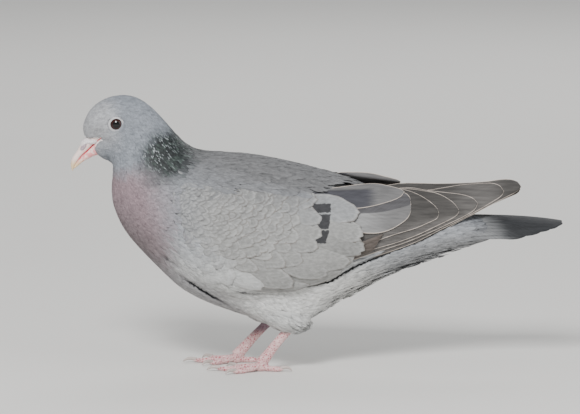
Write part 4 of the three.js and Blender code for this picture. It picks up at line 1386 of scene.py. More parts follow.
@dataclass
class BodyCoat:
    """The small feathers of the head, neck and trunk, in overlapping rows down the body."""

    form: BodyForm
    wing: WingForm
    thigh: ThighForm
    crease: Crease
    rng: np.random.Generator
    lid_radius: float = 4.9
    gape_clear: float = 0.55  # how far the feathers keep off the corner of the mouth
    clear: float = 0.3  # how far the body's feathers lie over the wing's and thigh's faces
    reach: float = 28.0  # the most that a wing or thigh stands out
    rows: int = 505
    columns: int = 480
    tracts: tuple = (
        Tract("head", (0.05, 6.0), 0.86, 4.2, 0.76, 0.26, TINY, 44000, 0.05),
        Tract("neck", (6.0, 10.0), 0.95, 5.8, 1.02, 0.32, TINY, 46000),
        Tract("breast", (10.0, 14.4), 1.82, 11.5, 1.92, 0.5, SMALL, 40000, 0.08),
        Tract("trunk", (14.4, 21.0), 2.0, 15.5, 2.1, 0.6, SMALL, 30000, 0.1),
    )
    zone: tuple = (
        (-80, 119), (-84, 101), (-79, 87), (-66, 73), (-50, 63), (-38, 58), (-10, 59), (12, 65), (40, 76),
        (80, 92), (131, 112), (131, 126), (30, 121), (16, 118), (-4, 113.5), (-36, 116.5),
    )  # what the wing's own feathers cover, in the side plane

    def __post_init__(self) -> None:
        """Work out the bare surface and the one that passes over the wings."""
        turn = np.linspace(-np.pi, np.pi, self.columns, endpoint=False)
        grid = np.meshgrid(np.linspace(0, self.form.last, self.rows), turn, indexing="ij")
        points, out = self.form.outwards(*grid)
        limits = ((0, self.form.last), (-np.pi, np.pi), True, out)
        normals = Surface(points, *limits).normals
        u, v = np.meshgrid(np.linspace(0, 6.0, 90), np.linspace(0, 1, 50), indexing="ij")
        wings = [(self.wing.at(u, v) * (1, side, 1), side) for side in SIDES.values()]
        thighs = [(self.thigh.rings(side), side) for side in SIDES.values()]
        over_wings = self._eased(self._height_over(points, normals, wings, (44, 140), self._kept), 7)
        over_thighs = self._eased(self._height_over(points, normals, thighs, (22, 62), lambda x, z: 1.1), 9)
        height = np.maximum(over_wings, over_thighs) - self.crease.depth(points)
        self.over = Surface(points + normals * height[..., None], *limits)

    def _height_over(self, points: Array, normals: Array, shapes: list, heights: tuple,
                     kept: Callable) -> Array:
        """Return how far shapes stand out over the body's surface.

        Args:
            points: the body's points.
            normals: its normals there.
            shapes: grids of points, each with its side.
            heights: the least and greatest height that the shapes reach.
            kept: gives the share of the height that counts at an x and z.

        Returns:
            A height for each of the body's points.
        """
        height = np.zeros(points.shape[:2])
        for face, side in shapes:
            rows, columns = face.shape[:2]
            corners = [(k, k + 1, k + columns + 1, k + columns)
                       for i in range(rows - 1) for k in range(i * columns, (i + 1) * columns - 1)]
            tree = BVHTree.FromPolygons(face.reshape(-1, 3).tolist(), corners)
            near = (points[..., 1] * side > 2) & (points[..., 2] > heights[0]) & (points[..., 2] < heights[1])
            for i, j in np.argwhere(near):
                point, normal = points[i, j], normals[i, j]
                hit = tree.ray_cast(Vector(point + normal * self.reach), Vector(-normal), self.reach + 2)
                if hit[0] is not None:
                    share = kept(hit[0].x, hit[0].z)
                    height[i, j] = max(height[i, j], (self.reach - hit[3] + self.clear) * share)
        return height

    def _kept(self, x: float, z: float) -> float:
        """Return how far the body's feathers pass over the wing: wholly at its front, top and lower front."""
        upper, lower = (np.interp(x, [p[0] for p in line], [p[2] for p in line])
                        for line in (self.wing.upper_line, self.wing.lower_line))
        share = (upper - z) / max(upper - lower, 1)
        rim = (1 - smooth(z - lower, 13, 19)) * (1 - smooth(x, -42, -30))
        return float(max(1 - smooth(share, 0.42, 0.6), 1 - smooth(x, -58, -46), rim))

    @staticmethod
    def _eased(height: Array, reach: int, rounds: int = 3) -> Array:
        """Return heights with their steps eased into slopes, over a reach in rows and columns."""
        span = 2 * reach + 1
        for _ in range(rounds):
            padded = np.pad(height, ((reach, reach), (0, 0)), mode="edge")
            height = sum(padded[k:k + len(height)] for k in range(span)) / span
            height = sum(np.roll(height, k, 1) for k in range(-reach, reach + 1)) / span
        return height

    def _inside_zone(self, x: Array, z: Array) -> Array:
        """Return True where a place in the side plane lies inside the wing's zone."""
        inside = np.zeros(x.shape, bool)
        for (x0, z0), (x1, z1) in zip(self.zone, self.zone[1:] + self.zone[:1]):
            inside ^= ((z0 > z) != (z1 > z)) & (x < (x1 - x0) * (z - z0) / (z1 - z0 + 1e-9) + x0)
        return inside

    def _roots(self, tract: Tract) -> tuple:
        """Return the places of a tract's feathers and how much bigger they are than its least."""
        s = self.rng.uniform(*tract.along, tract.candidates * 3)
        turn = self.rng.uniform(-np.pi, np.pi, len(s))
        keep = evenly(self.over, s, turn, self.rng)
        s, turn = s[keep][: tract.candidates], turn[keep][: tract.candidates]
        points = self.over.at(s, turn)[0]
        grow = self._growth(points, s)
        picked = spread(points, tract.spacing * grow, self.rng)
        return s[picked], turn[picked], grow[picked]

    def _growth(self, points: Array, s: Array) -> Array:
        """Return how much bigger feathers are at places than the least of their tract."""
        mantle = smooth(s, 10.0, 12.5) * smooth(points[:, 2], 105, 125)
        tail_coverts = smooth(s, 17.0, 19.5)
        head = smooth(s, 1.0, 6.0) * (1 - smooth(s, 5.99, 6.01))
        neck = smooth(s, 7.2, 10.0) * (1 - smooth(s, 9.99, 10.01))
        face = 1 - smooth(np.minimum(self._from_eye(points) - 4, 3 * s), 0.5, 9)
        return (1 + 0.55 * mantle + 0.6 * tail_coverts + 0.3 * head + 0.75 * neck) * (1 - 0.42 * face)

    def _to_leg(self, points: Array) -> Array:
        """Return how far feathers turn down towards the leg, in radians round the body."""
        side = np.sign(points[:, 1])
        x = self.thigh.centre[0] + np.where(side > 0, self.thigh.right_shift, 0)
        near = np.exp(-((points[:, 0] - x) / 17) ** 2 - ((points[:, 2] - 42) / 13) ** 2)
        return side * 0.6 * near * smooth(np.abs(points[:, 1]), 6, 12)

    @staticmethod
    def _from_eye(points: Array) -> Array:
        """Return how far places are from the nearer eye's axis, in millimetres."""
        away = np.hypot(points[..., 0] - EYE[0], points[..., 2] - EYE[2])
        return np.where(np.abs(points[..., 1]) > 5, away, 99.0)

    def _bare(self, root: Array, tip: Array) -> Array:
        """Return True where feathers would lie on an eye, the bill or the wing's own feathers.

        Args:
            root: the feathers' roots.
            tip: their tips.

        Returns:
            One truth value for each feather.
        """
        jitter = self.rng.normal(0, 1.1, (2, len(root)))
        middle = (root + tip) / 2
        bare = self._inside_zone(tip[:, 0] + jitter[0], tip[:, 2] + jitter[1]) & (np.abs(tip[:, 1]) > 9)
        bare |= np.minimum(self._from_eye(tip), self._from_eye(middle)) < self.lid_radius
        bare |= self._from_eye(root) < self.lid_radius - 0.4
        for end in (root, tip):
            bare |= self.form.at_bill(end[:, 0], end[:, 2]) > 0.5
        return bare | (np.minimum(self.form.from_gape(tip), self.form.from_gape(middle)) < self.gape_clear)

    def _piece(self, tract: Tract) -> CoatPiece:
        """Return the feathers of one tract as a piece that isn't built yet."""
        normal = self.rng.normal
        s, turn, grow = self._roots(tract)
        root = self.over.at(s, turn)[0]
        length = tract.length * grow * normal(1, 0.08, len(s))
        tip_s = s + length / np.maximum(np.linalg.norm(self.over.steps(s, turn)[0], axis=-1), 1)
        keep = ~self._bare(root, self.over.at(tip_s, turn)[0]) & (tip_s < self.form.last + 0.6)
        s, turn, grow, root, length = (a[keep] for a in (s, turn, grow, root, length))
        count = len(s)
        loose = smooth(s, 13.8, 15.2) * (1 - smooth(s, 17.6, 19.0)) * smooth(np.abs(turn), 2.2, 2.9)
        wisp = loose * (self.rng.uniform(0, 1, count) < 0.4)
        lift = normal(0.0, 0.06, count) + loose * np.abs(normal(0.3, 0.5, count)) + 1.2 * wisp
        feathers = Feathers(
            p=s, q=turn, length=length * (1 + 0.3 * wisp), half=tract.half * grow * (1 - 0.45 * wisp),
            lift=lift,
            heading=normal(0, 0.10, count) + self._to_leg(root), sink=tract.sink * grow,
            curve=normal(0, 0.03, count), fray=tract.fray, roll=normal(0, 0.03, count), thickness=0.14,
        )
        vertices = feathers.vertices(self.over, tract.vane, self.rng)
        unwrap = np.stack([s / self.form.last, turn / (2 * np.pi) + 0.5], -1)
        tone = normal(0, 1, count) * (0.045 + 0.03 * smooth(s, 10, 12.5))
        piece = CoatPiece(f"coat_{tract.name}")
        piece.add(vertices, tract.vane, root, unwrap, tone)
        return piece

    def build(self, finishes: FeatherMaterials) -> list:
        """Return the coat's pieces."""
        pieces = []
        for tract in self.tracts:
            obj = self._piece(tract).build()
            obj.data.materials.append(finishes.get(Finish.BODY))
            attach(obj, BODY)
            {"head": "head_plumage", "neck": "neck_plumage"}.get(tract.name, "body_plumage")
            pieces.append(obj)
        return pieces


@dataclass
class ThighCoat:
    """The soft feathers of one thigh, which run down to the heel."""

    side_name: str
    thigh: ThighForm
    rng: np.random.Generator
    spacing: float = 1.8
    length: float = 10.0
    half: float = 1.75
    candidates: int = 9000
    highest: float = 37.0  # over this the body's own feathers cover the thigh

    def _piece(self) -> CoatPiece:
        """Return the thigh's feathers as a piece that isn't built yet."""
        normal, uniform = self.rng.normal, self.rng.uniform
        surface = self.thigh.surface(SIDES[self.side_name])
        p, q = uniform(0.04, 0.97, self.candidates), uniform(-np.pi, np.pi, self.candidates)
        keep = evenly(surface, p, q, self.rng) & (surface.at(p, q)[0][:, 2] < self.highest)
        p, q = p[keep], q[keep]
        points = surface.at(p, q)[0]
        picked = spread(points, np.full(len(p), self.spacing), self.rng)
        p, q, points = p[picked], q[picked], points[picked]
        count = len(p)
        wisp = (uniform(0, 1, count) < 0.5) * smooth(points[:, 0] - points[:, 2] * 0.6, -44, -36)
        length = self.length * normal(1, 0.1, count) * (1 - 0.45 * smooth(p, 0.6, 1.0)) * (1 + 0.5 * wisp)
        lift = normal(0.0, 0.08, count) + wisp * np.abs(normal(1.3, 0.7, count))
        feathers = Feathers(p=p, q=q, length=length, half=self.half * (1 - 0.5 * wisp), sink=1.0, lift=lift,
                            heading=normal(0, 0.12, count), curve=normal(0, 0.03, count), fray=0.1,
                            roll=normal(0, 0.04, count), thickness=0.14)
        piece = CoatPiece(f"coat_thigh_{self.side_name}")
        vertices = feathers.vertices(surface, SMALL, self.rng)
        piece.add(vertices, SMALL, points, np.stack([p, q / (2 * np.pi) + 0.5], -1), normal(0, 0.03, count))
        return piece

    def build(self, finishes: FeatherMaterials) -> bpy.types.Object:
        """Return the thigh's feathers as one piece."""
        obj = self._piece().build()
        obj.data.materials.append(finishes.get(Finish.BODY))
        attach(obj, BODY)
        return obj


@dataclass
class WingCoat:
    """The feathers of one folded wing: rows of coverts, tertials, secondaries and primaries."""

    side_name: str
    surface: Surface
    rng: np.random.Generator
    wrist: tuple = (-84.0, 106.0)
    shield_edge: tuple = (
        (6, 123), (17.6, 116.5), (25.5, 103.5), (27.0, 88), (24.6, 75.0), (13.2, 64.5), (-6.0, 59.5),
        (-36.0, 55.5),
        (-58, 60.0), (-72, 71.5), (-80, 86.0),
    )
    steps: tuple = (23.5, 14.0, 11.0)
    widths: tuple = (12.0, 10.0, 8.5)
    edge_blades: tuple = (
        Blade(((-50, 60), (-40, 60), (-22, 61), (-10, 60), (-4, 57.6)),
              ((-50, 56), (-44, 54.2), (-33, 52.6), (-18, 53.0), (-9, 55.0), (-4, 57.6)), (2.6, 1.0), -0.05),
        Blade(((-40, 68), (-20, 68), (0, 69), (10, 69), (16, 66.5)),
              ((-40, 60), (-18, 56.2), (-4, 56.6), (8, 60.2), (14, 63.6), (16, 66.5)), (1.9, 0.8), 0.02),
        Blade(((-25, 80), (0, 82), (16, 81), (24, 77)),
              ((-25, 66), (0, 63.5), (12, 65.5), (21, 71), (24, 77)), (1.7, 0.6), -0.01),
    )
    reach: float = 110.5
    tip_drop: float = 3.0  # how much lower the right wing's tip lies, under the left one's
    tertial_blades: tuple = (
        Blade(((-20, 115.5), (9.9, 116.9), (26.3, 118.2), (36.9, 118.3), (46.5, 116.6), (52.2, 115.1),
               (54.8, 113.6)),
              ((-20, 104), (9.9, 104.2), (26.1, 104.9), (33.8, 105.8), (41.5, 107.4), (48.3, 109.2),
              (52.6, 111.1),
               (54.8, 113.6)), (2.0, 0.5), 0.0, Mark.UPPER),
        Blade(((-20, 112), (9.9, 113), (33, 115.0), (46.5, 114.8), (54.4, 113.2), (57.9, 110.8),
               (58.8, 106.6)),
              ((-20, 92.5), (9.8, 92.0), (27, 90.2), (36.6, 89.7), (43.3, 90.9), (49.1, 93.3), (55.8, 97.7),
               (58.3, 101.7), (58.8, 106.6)), (2.7, 1.1), 0.02, Mark.LOWER),
    )
    lifted_blade: Blade = Blade(  # the right wing's upper tertial stands a little off the back
        ((-14, 120.0), (2, 121), (10, 121.6), (17, 122.8), (27.3, 123.0), (35, 122.4), (43.7, 120.6),
         (50.4, 119.1), (53.1, 117.6)),
        # tone 0.8: painted light that brightens the blade's inner face, which lies in shade
        ((-14, 112), (20, 112), (40, 113), (50, 115), (53.1, 117.6)), (1.2, 0.2), 0.8, Mark.LIFTED)
    secondary_blades: tuple = (
        Blade(((-15, 73), (7.9, 79.2), (25.1, 83.8), (32.8, 86.5), (38, 88.3), (41.4, 89.5)),
              ((-15, 70), (7.9, 76.2), (23.7, 80.0), (32, 83.0), (38.6, 85.6), (41.4, 89.5)),
              (3.1, 1.8), 0.0, Mark.SECONDARY),
        Blade(((-15, 70), (7.9, 77.0), (23.1, 80.8), (30.8, 83.5), (36.5, 85.4), (39.0, 86.2)),
              ((-15, 67), (7.9, 73.0), (21.7, 76.6), (30, 79.4), (36.6, 81.8), (39.0, 86.2)),
              (3.4, 2.1), 0.06, Mark.SECONDARY),
        Blade(((-15, 66), (7.9, 73.6), (21.1, 77.2), (29.8, 79.9), (35, 81.8), (37.0, 82.6)),
              ((-15, 62), (7.9, 70.0), (20.7, 73.2), (28, 75.8), (34.6, 78.4), (37.0, 82.6)),
              (3.7, 2.4), -0.04, Mark.SECONDARY),
    )
    primary_blades: tuple = (
        Blade(((-20, 96), (7.9, 104.3), (27.1, 109.9), (49.3, 114.7), (58.9, 113.5), (67.5, 109.8),
               (74.2, 104.9), (76.2, 101.3)),
              ((-20, 64), (7.9, 73.3), (27, 80.6), (40.4, 85.8), (49.1, 88.6), (61.6, 92), (69.3, 95),
               (75.1, 97.6), (76.2, 101.3)), (4.3, 1.7)),
        Blade(((-20, 97), (7.9, 105.1), (27.1, 110.7), (49.4, 115.1), (69.5, 113.4), (77.2, 111.6),
               (84.8, 107.4), (88.8, 102.8)),
              ((-20, 61), (7.9, 70.3), (22.3, 74.8), (35.7, 79.3), (49.1, 82.9), (61.6, 87.1), (75.1, 92.9),
               (84.7, 97.3), (88.4, 100.1), (88.8, 102.8)), (4.8, 2.2)),
        Blade(((-20, 98), (7.9, 106), (27.2, 111.6), (54.2, 115.4), (69.5, 113.8), (81.1, 112.6),
               (90.7, 111.5), (97.3, 109.5), (100.9, 106.3)),
              ((-20, 59), (7.9, 68.2), (25.2, 73.3), (39.5, 77.9), (53.9, 82.3), (67.4, 87.4), (80.9, 93.1),
               (92.4, 98.3), (98.7, 102.1), (100.9, 106.3)), (5.3, 2.7)),
        Blade(((-20, 99), (8, 107.8), (36.8, 113.4), (65.7, 113.6), (79.2, 115.1), (90.8, 116.7),
               (102.4, 117.5), (110, 117.8), (114.8, 116.4), (117.4, 113)),
              ((-20, 57), (8, 66.2), (22.3, 70.2), (46.3, 77.2), (61.6, 82.6), (75.1, 89.0), (89.6, 95.8),
               (100.2, 101.2), (108.9, 106), (115.2, 109.8), (117.4, 113)), (5.8, 3.2)),
        Blade(((-20, 100), (8, 108.7), (36.8, 115.5), (54.3, 117.6), (75.4, 117.3), (90.8, 117.6),
               (104.3, 118.4), (113.9, 119.7), (120.6, 119.9), (126.0, 118.6), (128.3, 115.7)),
              ((-20, 55), (8, 63.9), (26.2, 68.6), (50.1, 76.4), (59.7, 80.1), (69.4, 84), (79, 89.2),
              (89.6, 95),
               (98.2, 99.2), (106.9, 103.5), (117.6, 108.8), (125.8, 112.7), (128.3, 115.7)), (6.3, 3.7)),
    )

    @property
    def side(self) -> int:
        """Return -1 for the left wing and 1 for the right one."""
        return SIDES[self.side_name]

    def _row_places(self, share: float, width: float) -> tuple:
        """Return the tips of one row of coverts and their headings.

        Args:
            share: how far the row lies from the wrist, as a share of the shield.
            width: the feathers' width.

        Returns:
            The tips' x and z and the headings.
        """
        line = Spline(self.shield_edge)
        s = np.linspace(0, line.last, 400)
        edge = np.array(self.wrist) + share * (line.at(s) - np.array(self.wrist))
        heading = -np.radians(lerp(5, 30, smooth(s, 0, 7.5))) - np.radians(18) * smooth(s, 7.5, 10)
        run = unit(np.gradient(edge, axis=0))
        across = np.maximum(np.abs(run[:, 0] * np.sin(heading) - run[:, 1] * np.cos(heading)), 0.38)
        travel = np.cumsum(np.linalg.norm(np.diff(edge, axis=0, prepend=edge[:1]), axis=1) * across)
        places = np.arange(self.rng.uniform(0.2, 0.8) * width, travel[-1], width)
        places = places + self.rng.normal(0, 0.06, len(places)) * width
        at = np.interp(places, travel, np.arange(400))
        return tuple(np.interp(at, np.arange(400), values) for values in (edge[:, 0], edge[:, 1], heading))

    def _top(self, x: Array) -> Array:
        """Return the height over which the back's own feathers cover the shield."""
        return np.interp(x, [-80, -36, -4, 10, 30], [124, 120, 117, 118, 119])

    def coverts(self) -> CoatPiece:
        """Return the coverts: three rows of big ones, and smaller ones scattered in front of them."""
        piece = CoatPiece(f"wing_{self.side_name}_covert_feathers", patch=0.02, rims=True)
        gone = 0.0
        for step, width, mark in zip(self.steps, self.widths, (Mark.GREATER, Mark.NONE, Mark.NONE)):
            x, z, heading = self._row_places(1 - gone / self.reach, width)
            ahead = np.arctan2(z - self.wrist[1], x - self.wrist[0]) > -1.1
            x, z, heading = x[ahead], z[ahead], heading[ahead]
            small = 1 - 0.5 * (1 - smooth(x, -55, -5)) * (1 - smooth(z, 58, 84))
            self._lay_coverts(piece, x, z, heading, width * small, step * small, COVERT, mark)
            gone += step
        x, z, heading, size = self._scattered()
        heading = heading + self.rng.normal(0, 0.13, len(x))
        size = size * self.rng.normal(1, 0.13, len(x))
        self._lay_coverts(piece, x, z, heading, size, size * 1.3, MEDIUM)
        x = np.arange(-60.0, -2.0, 8.0)  # the row under the back's edge
        x = x + self.rng.normal(0, 1.2, len(x))
        z = self._top(x) - 6.5 + self.rng.normal(0, 1.5, len(x))
        self._lay_coverts(piece, x, z, np.full(len(x), -0.12), 9.5, 15.0, COVERT)
        self._add_blades(piece, self.edge_blades)
        return piece

    def _lay_coverts(self, piece: CoatPiece, x: Array, z: Array, heading: Array, width: Array, step: Array,
                     vane: Vane, mark: Mark = Mark.NONE) -> None:
        """Add coverts whose tips lie at places in the side plane.

        Args:
            piece: the piece that they are added to.
            x: the tips' x.
            z: the tips' z.
            heading: the feathers' headings.
            width: their widths.
            step: how far each shows behind the next row.
            vane: the plan that they are made from.
            mark: their marking.
        """
        normal = self.rng.normal
        width, step = np.broadcast_to(width, x.shape), np.broadcast_to(step, x.shape)
        keep = z + 0.55 * width < self._top(x) + 2 + normal(0, 1.2, x.shape)
        x, z, heading, width, step = (a[keep] for a in (x, z, heading, width, step))
        count = len(x)
        heading = heading + normal(0, 0.09, count)
        length = (step * 1.25 + 5 + 0.3 * step) * normal(1, 0.05, count)
        x = x + normal(0, 0.07, count) * step
        root_x, root_z = x - length * np.cos(heading), z - length * np.sin(heading)
        feathers = Feathers(
            p=root_x, q=root_z, length=length, half=width * 0.76 * normal(1, 0.07, count), heading=heading,
            sink=0.8, lift=normal(0, 0.1, count), camber=0.035, roll=normal(-0.12, 0.07, count),
            curve=normal(0, 0.05, count), rounding=float(0.42 * (width / length).mean()), base=0.7,
            taper=0.34,
            fray=0.018, thickness=0.13, plan_view=True,
        )
        self._add(piece, feathers.vertices(self.surface, vane, self.rng), vane, root_x, root_z, mark)

    def _scattered(self) -> tuple:
        """Return the tips' x and z, the headings and the sizes of the smaller coverts."""
        x, z = self.rng.uniform(-86, 16, 60000), self.rng.uniform(48, 126, 60000)
        line = Spline(self.shield_edge)
        edge = line.at(np.linspace(0, line.last, 300)) - np.array(self.wrist)
        bearing, far = np.arctan2(edge[:, 1], edge[:, 0]), np.linalg.norm(edge, axis=1)
        order = np.argsort(bearing)
        dx, dz = x - self.wrist[0], z - self.wrist[1]
        turn = np.arctan2(dz, dx)
        share = np.hypot(dx, dz) / np.interp(turn, bearing[order], far[order])
        keep = (share < lerp(1.0, 0.62, smooth(turn, -1.02, -0.68))) & (z < self._top(x))
        x, z, turn, share = x[keep], z[keep], turn[keep], share[keep]
        size = np.interp(share, [0, 0.3, 0.45, 0.58, 0.66, 1.0], [3.4, 4.3, 5.2, 6.6, 7.2, 8.2])
        size = size * lerp(0.7, 1.0, smooth(turn, -1.4, -0.7))
        picked = spread(np.stack([x, z, 0 * x], -1), size * 0.62, self.rng)
        heading = lerp(-0.62, -0.08, smooth(turn, -1.2, 0.2))
        return x[picked], z[picked], heading[picked], size[picked]

    def _add(self, piece: CoatPiece, vertices: Array, vane: Vane, x: Array, z: Array, mark: Mark,
             tone: float | None = None) -> None:
        """Mirror a right wing's feathers where needed and add them to a piece.

        Args:
            piece: the piece that they are added to.
            vertices: feathers by vertices by 3.
            vane: the plan that they are made from.
            x: their roots' x.
            z: their roots' z.
            mark: their marking.
            tone: how much lighter they are, or None for a tone at random.
        """
        if self.side == RIGHT:
            drop = self.tip_drop * smooth(vertices[..., 0], 30, 105)
            vertices = vertices - drop[..., None] * (0, 0.6, 1)
        unwrap = np.stack([(x + 95) / 240, (z - 30) / 120], -1)
        roots = np.stack([x, np.full(len(x), 35.0 * self.side), z], -1)
        tone = self.rng.normal(0, 0.05, len(x)) if tone is None else tone
        piece.add(vertices * (1, self.side, 1), vane, roots, unwrap, tone, mark.value, flip=self.side > 0)

    def _add_blades(self, piece: CoatPiece, blades: Iterable) -> CoatPiece:
        """Add big feathers, which lie in layers towards the body, to a piece and return it."""
        for blade in blades:
            x, z = np.array([blade.upper[1]], float).T
            vertices = blade.vertices(self.surface, LONG, np.array([0.0, 1.0, 0.0]))
            self._add(piece, vertices, LONG, x, z, blade.mark, blade.tone)
        return piece

    def _blades(self, name: str, blades: Iterable) -> CoatPiece:
        """Return a piece made of big feathers."""
        return self._add_blades(CoatPiece(f"wing_{self.side_name}_{name}", patch=0.05, rims=True), blades)

    def build(self, finishes: FeatherMaterials) -> list:
        """Return the wing's pieces."""
        made, name = [], f"wing_{self.side_name}"
        tertials = self.tertial_blades + ((self.lifted_blade,) if self.side == RIGHT else ())
        flight = self.secondary_blades + self.primary_blades
        for piece, finish, node, slot in (
            (self.coverts(), Finish.COVERT, None, "wing_coverts"),
            (self._blades("tertial_feathers", tertials), Finish.TERTIAL, f"{name}_tertials", "tertials"),
            (self._blades("flight_feathers", flight), Finish.FLIGHT, f"{name}_primaries", "primaries"),
        ):
            obj = piece.build()
            obj.data.materials.append(finishes.get(finish))
            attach(obj, BODY)
            if node:
                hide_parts(node)
            made.append(obj)
        return made


@dataclass
class Tail:
    """Twelve folded tail feathers in layers, the middle pair on top."""

    root: float = 66.0
    tip: float = 154.6
    root_half: float = 11.0
    tip_half: float = 22.0
    height: float = 97.4
    root_droop: float = 12.0
    tip_droop: float = 9.5
    tip_bend: float = 4.0
    steps: tuple = (0.6, 0.2, 2.2, 6.5, 12.5, 21.0)  # how far short of the tip each pair ends

    def surface(self) -> Surface:
        """Return the tail's top face as a surface over x and y."""
        x, y = np.meshgrid(np.linspace(60, 158, 99), np.linspace(-26, 26, 53), indexing="ij")
        s = np.clip((x - self.root) / (self.tip - self.root), 0, 1.03)
        half = lerp(self.root_half, self.tip_half, s**0.8)
        fall = lerp(self.root_droop, self.tip_droop, s) * (y / half) ** 2
        z = self.height - self.tip_bend * s**4 - np.minimum(fall, 14)
        return Surface(np.stack([x, y, z], -1), (60, 158), (-26, 26), False, np.array([0, 0, 1]))

    def build(self, finishes: FeatherMaterials) -> bpy.types.Object:
        """Return the tail's feathers as one piece."""
        surface, piece = self.surface(), CoatPiece("tail_feathers", patch=0.06, rims=True)
        for pair, short in enumerate(self.steps):
            for side in SIDES.values():
                spine = ((self.root + 2, side * (0.8 + 1.3 * pair)), (110, side * (1.4 + 1.8 * pair)),
                         (self.tip - short, side * (2 + 2.35 * pair)))
                depth = 0.1 + 0.3 * pair + (0.15 if side < 0 else 0)
                half = 7.8 if pair == len(self.steps) - 1 else 8.2
                blade = Blade.along(spine, half, 13, (depth, depth), blunt=0.22)
                unwrap = np.array([[(pair + 0.5) / len(self.steps), 0.25 if side < 0 else 0.75]])
                place = np.array([[*spine[0], self.height]])
                piece.add(blade.vertices(surface, LONG), LONG, place, unwrap, 0.02 * (-1) ** pair)
        obj = piece.build()
        obj.data.materials.append(finishes.get(Finish.TAIL))
        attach(obj, BODY)
        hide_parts("tail")
        return obj


# -------- skin
@dataclass(frozen=True)
class Toe:
    """One toe: its heading from straight ahead, outwards, its length, its claw's length and its arch."""

    name: str
    heading: float
    length: float
    claw: float
    bend: float


@dataclass(frozen=True)
class Leg:
    """The bare part of a leg: shank, pad, toes and claws."""

    side: int
    heel_shift: float
    foot_shift: float
    spread: float = 17.0
    bow: float = 0.6
    heel: tuple = (-14.0, 31.0)
    foot: tuple = (-35.5, 4.6)
    shank_radius: float = 3.5
    toe_radius: float = 2.1
    claw_radius: float = 1.2
    axis_height: float = 1.75
    toes: tuple = (
        Toe("inner", -34, 20.5, 5.8, 0.8), Toe("middle", 0, 27.5, 6.5, 1.2), Toe("outer", 36, 21.5, 5.8, 0.8),
        Toe("hind", 172, 14.5, 5.6, 0.5),
    )

    def _place(self, toe: Toe, distance: float, height: float) -> tuple:
        """Return a point over the floor at a distance along a toe's line."""
        turn = math.radians(toe.heading * self.side)
        return (self.foot[0] + self.foot_shift - math.cos(turn) * distance,
                self.spread * self.side + math.sin(turn) * distance, height)

    def flesh(self) -> list:
        """Return the shank's, the pad's and the toes' tubes."""
        y = self.spread * self.side
        heel = np.array([self.heel[0] + self.heel_shift, y * 0.96, self.heel[1]])
        foot = np.array([self.foot[0] + self.foot_shift, y, self.foot[1]])
        line = Spline([heel + (heel - foot) * 0.25, heel, (heel + foot) / 2 - (self.bow, 0, 0), foot])
        width = lambda t: self.shank_radius * (1.1 - 0.3 * np.sin(np.pi * np.clip(t * 1.1 - 0.1, 0, 1)))
        swell = lambda t: 0.2 + 2.2 * np.sqrt(np.maximum(4 * t * (1 - t), 0))
        pad = Spline([foot + (4.0, 0, -2.2), foot + (-4.0, 0, -2.2)])
        made = [tube("shank", limb(line, width, 40, 28, 0.76)), tube("pad", limb(pad, swell, 14, 20))]
        for toe in self.toes:
            high, end = self.axis_height, toe.length
            line = Spline([self._place(toe, 1.5, self.foot[1] - 1.0),
                           self._place(toe, end * 0.3, high + toe.bend),
                           self._place(toe, end * 0.65, high), self._place(toe, end, high)])
            made.append(tube("toe", limb(line, self._toe_width, 40, 20, 0.95)))
        return made

    def _toe_width(self, t: Array) -> Array:
        """Return a toe's radius along it: knuckles, and pads that swell under the joints."""
        knuckles = 1 - 0.24 * t + 0.07 * np.cos(6 * np.pi * t)
        return self.toe_radius * 0.97 * knuckles * np.minimum(1, 0.35 + 5 * (1 - t))

    def claws(self) -> list:
        """Return the claws: curved cones with rounded tips."""
        width = lambda t: self.claw_radius * (1 - 0.78 * t**1.3) * np.minimum(1, 0.2 + 9 * (1 - t))
        made = []
        for toe in self.toes:
            end, claw = toe.length, toe.claw
            line = Spline([self._place(toe, end - 2.2, 2.4), self._place(toe, end + claw * 0.35, 2.85),
                           self._place(toe, end + claw * 0.75, 2.05),
                           self._place(toe, end + claw * 0.99, 0.62)])
            made.append(tube(f"claw_fine_{toe.name}", limb(line, width, 24, 16, 0.78)))
        return made


@dataclass
class Legs:
    """Both legs."""

    legs: dict = field(
        default_factory=lambda: {"left": Leg(LEFT, 0.0, 0.0), "right": Leg(RIGHT, -12.0, -15.5)}
    )

    def claws(self) -> list:
        """Make the claws of each foot as one piece that takes the place of four solids."""
        material, tree, shader = principled("claw_horn", 0.42, 0.5)
        tree.finish(shader, tree.mix(tree.grain((500.0, 500.0, 2500.0)), Colour.CLAW, Colour.CLAW_DARK))
        made = []
        for name, leg in self.legs.items():
            obj = joined(leg.claws())
            obj.name = f"claws_{name}"
            obj.data.materials.append(material)
            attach(obj, BODY)
            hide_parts(*(f"claw_{name}_{toe.name}" for toe in leg.toes))
            made.append(obj)
        return made


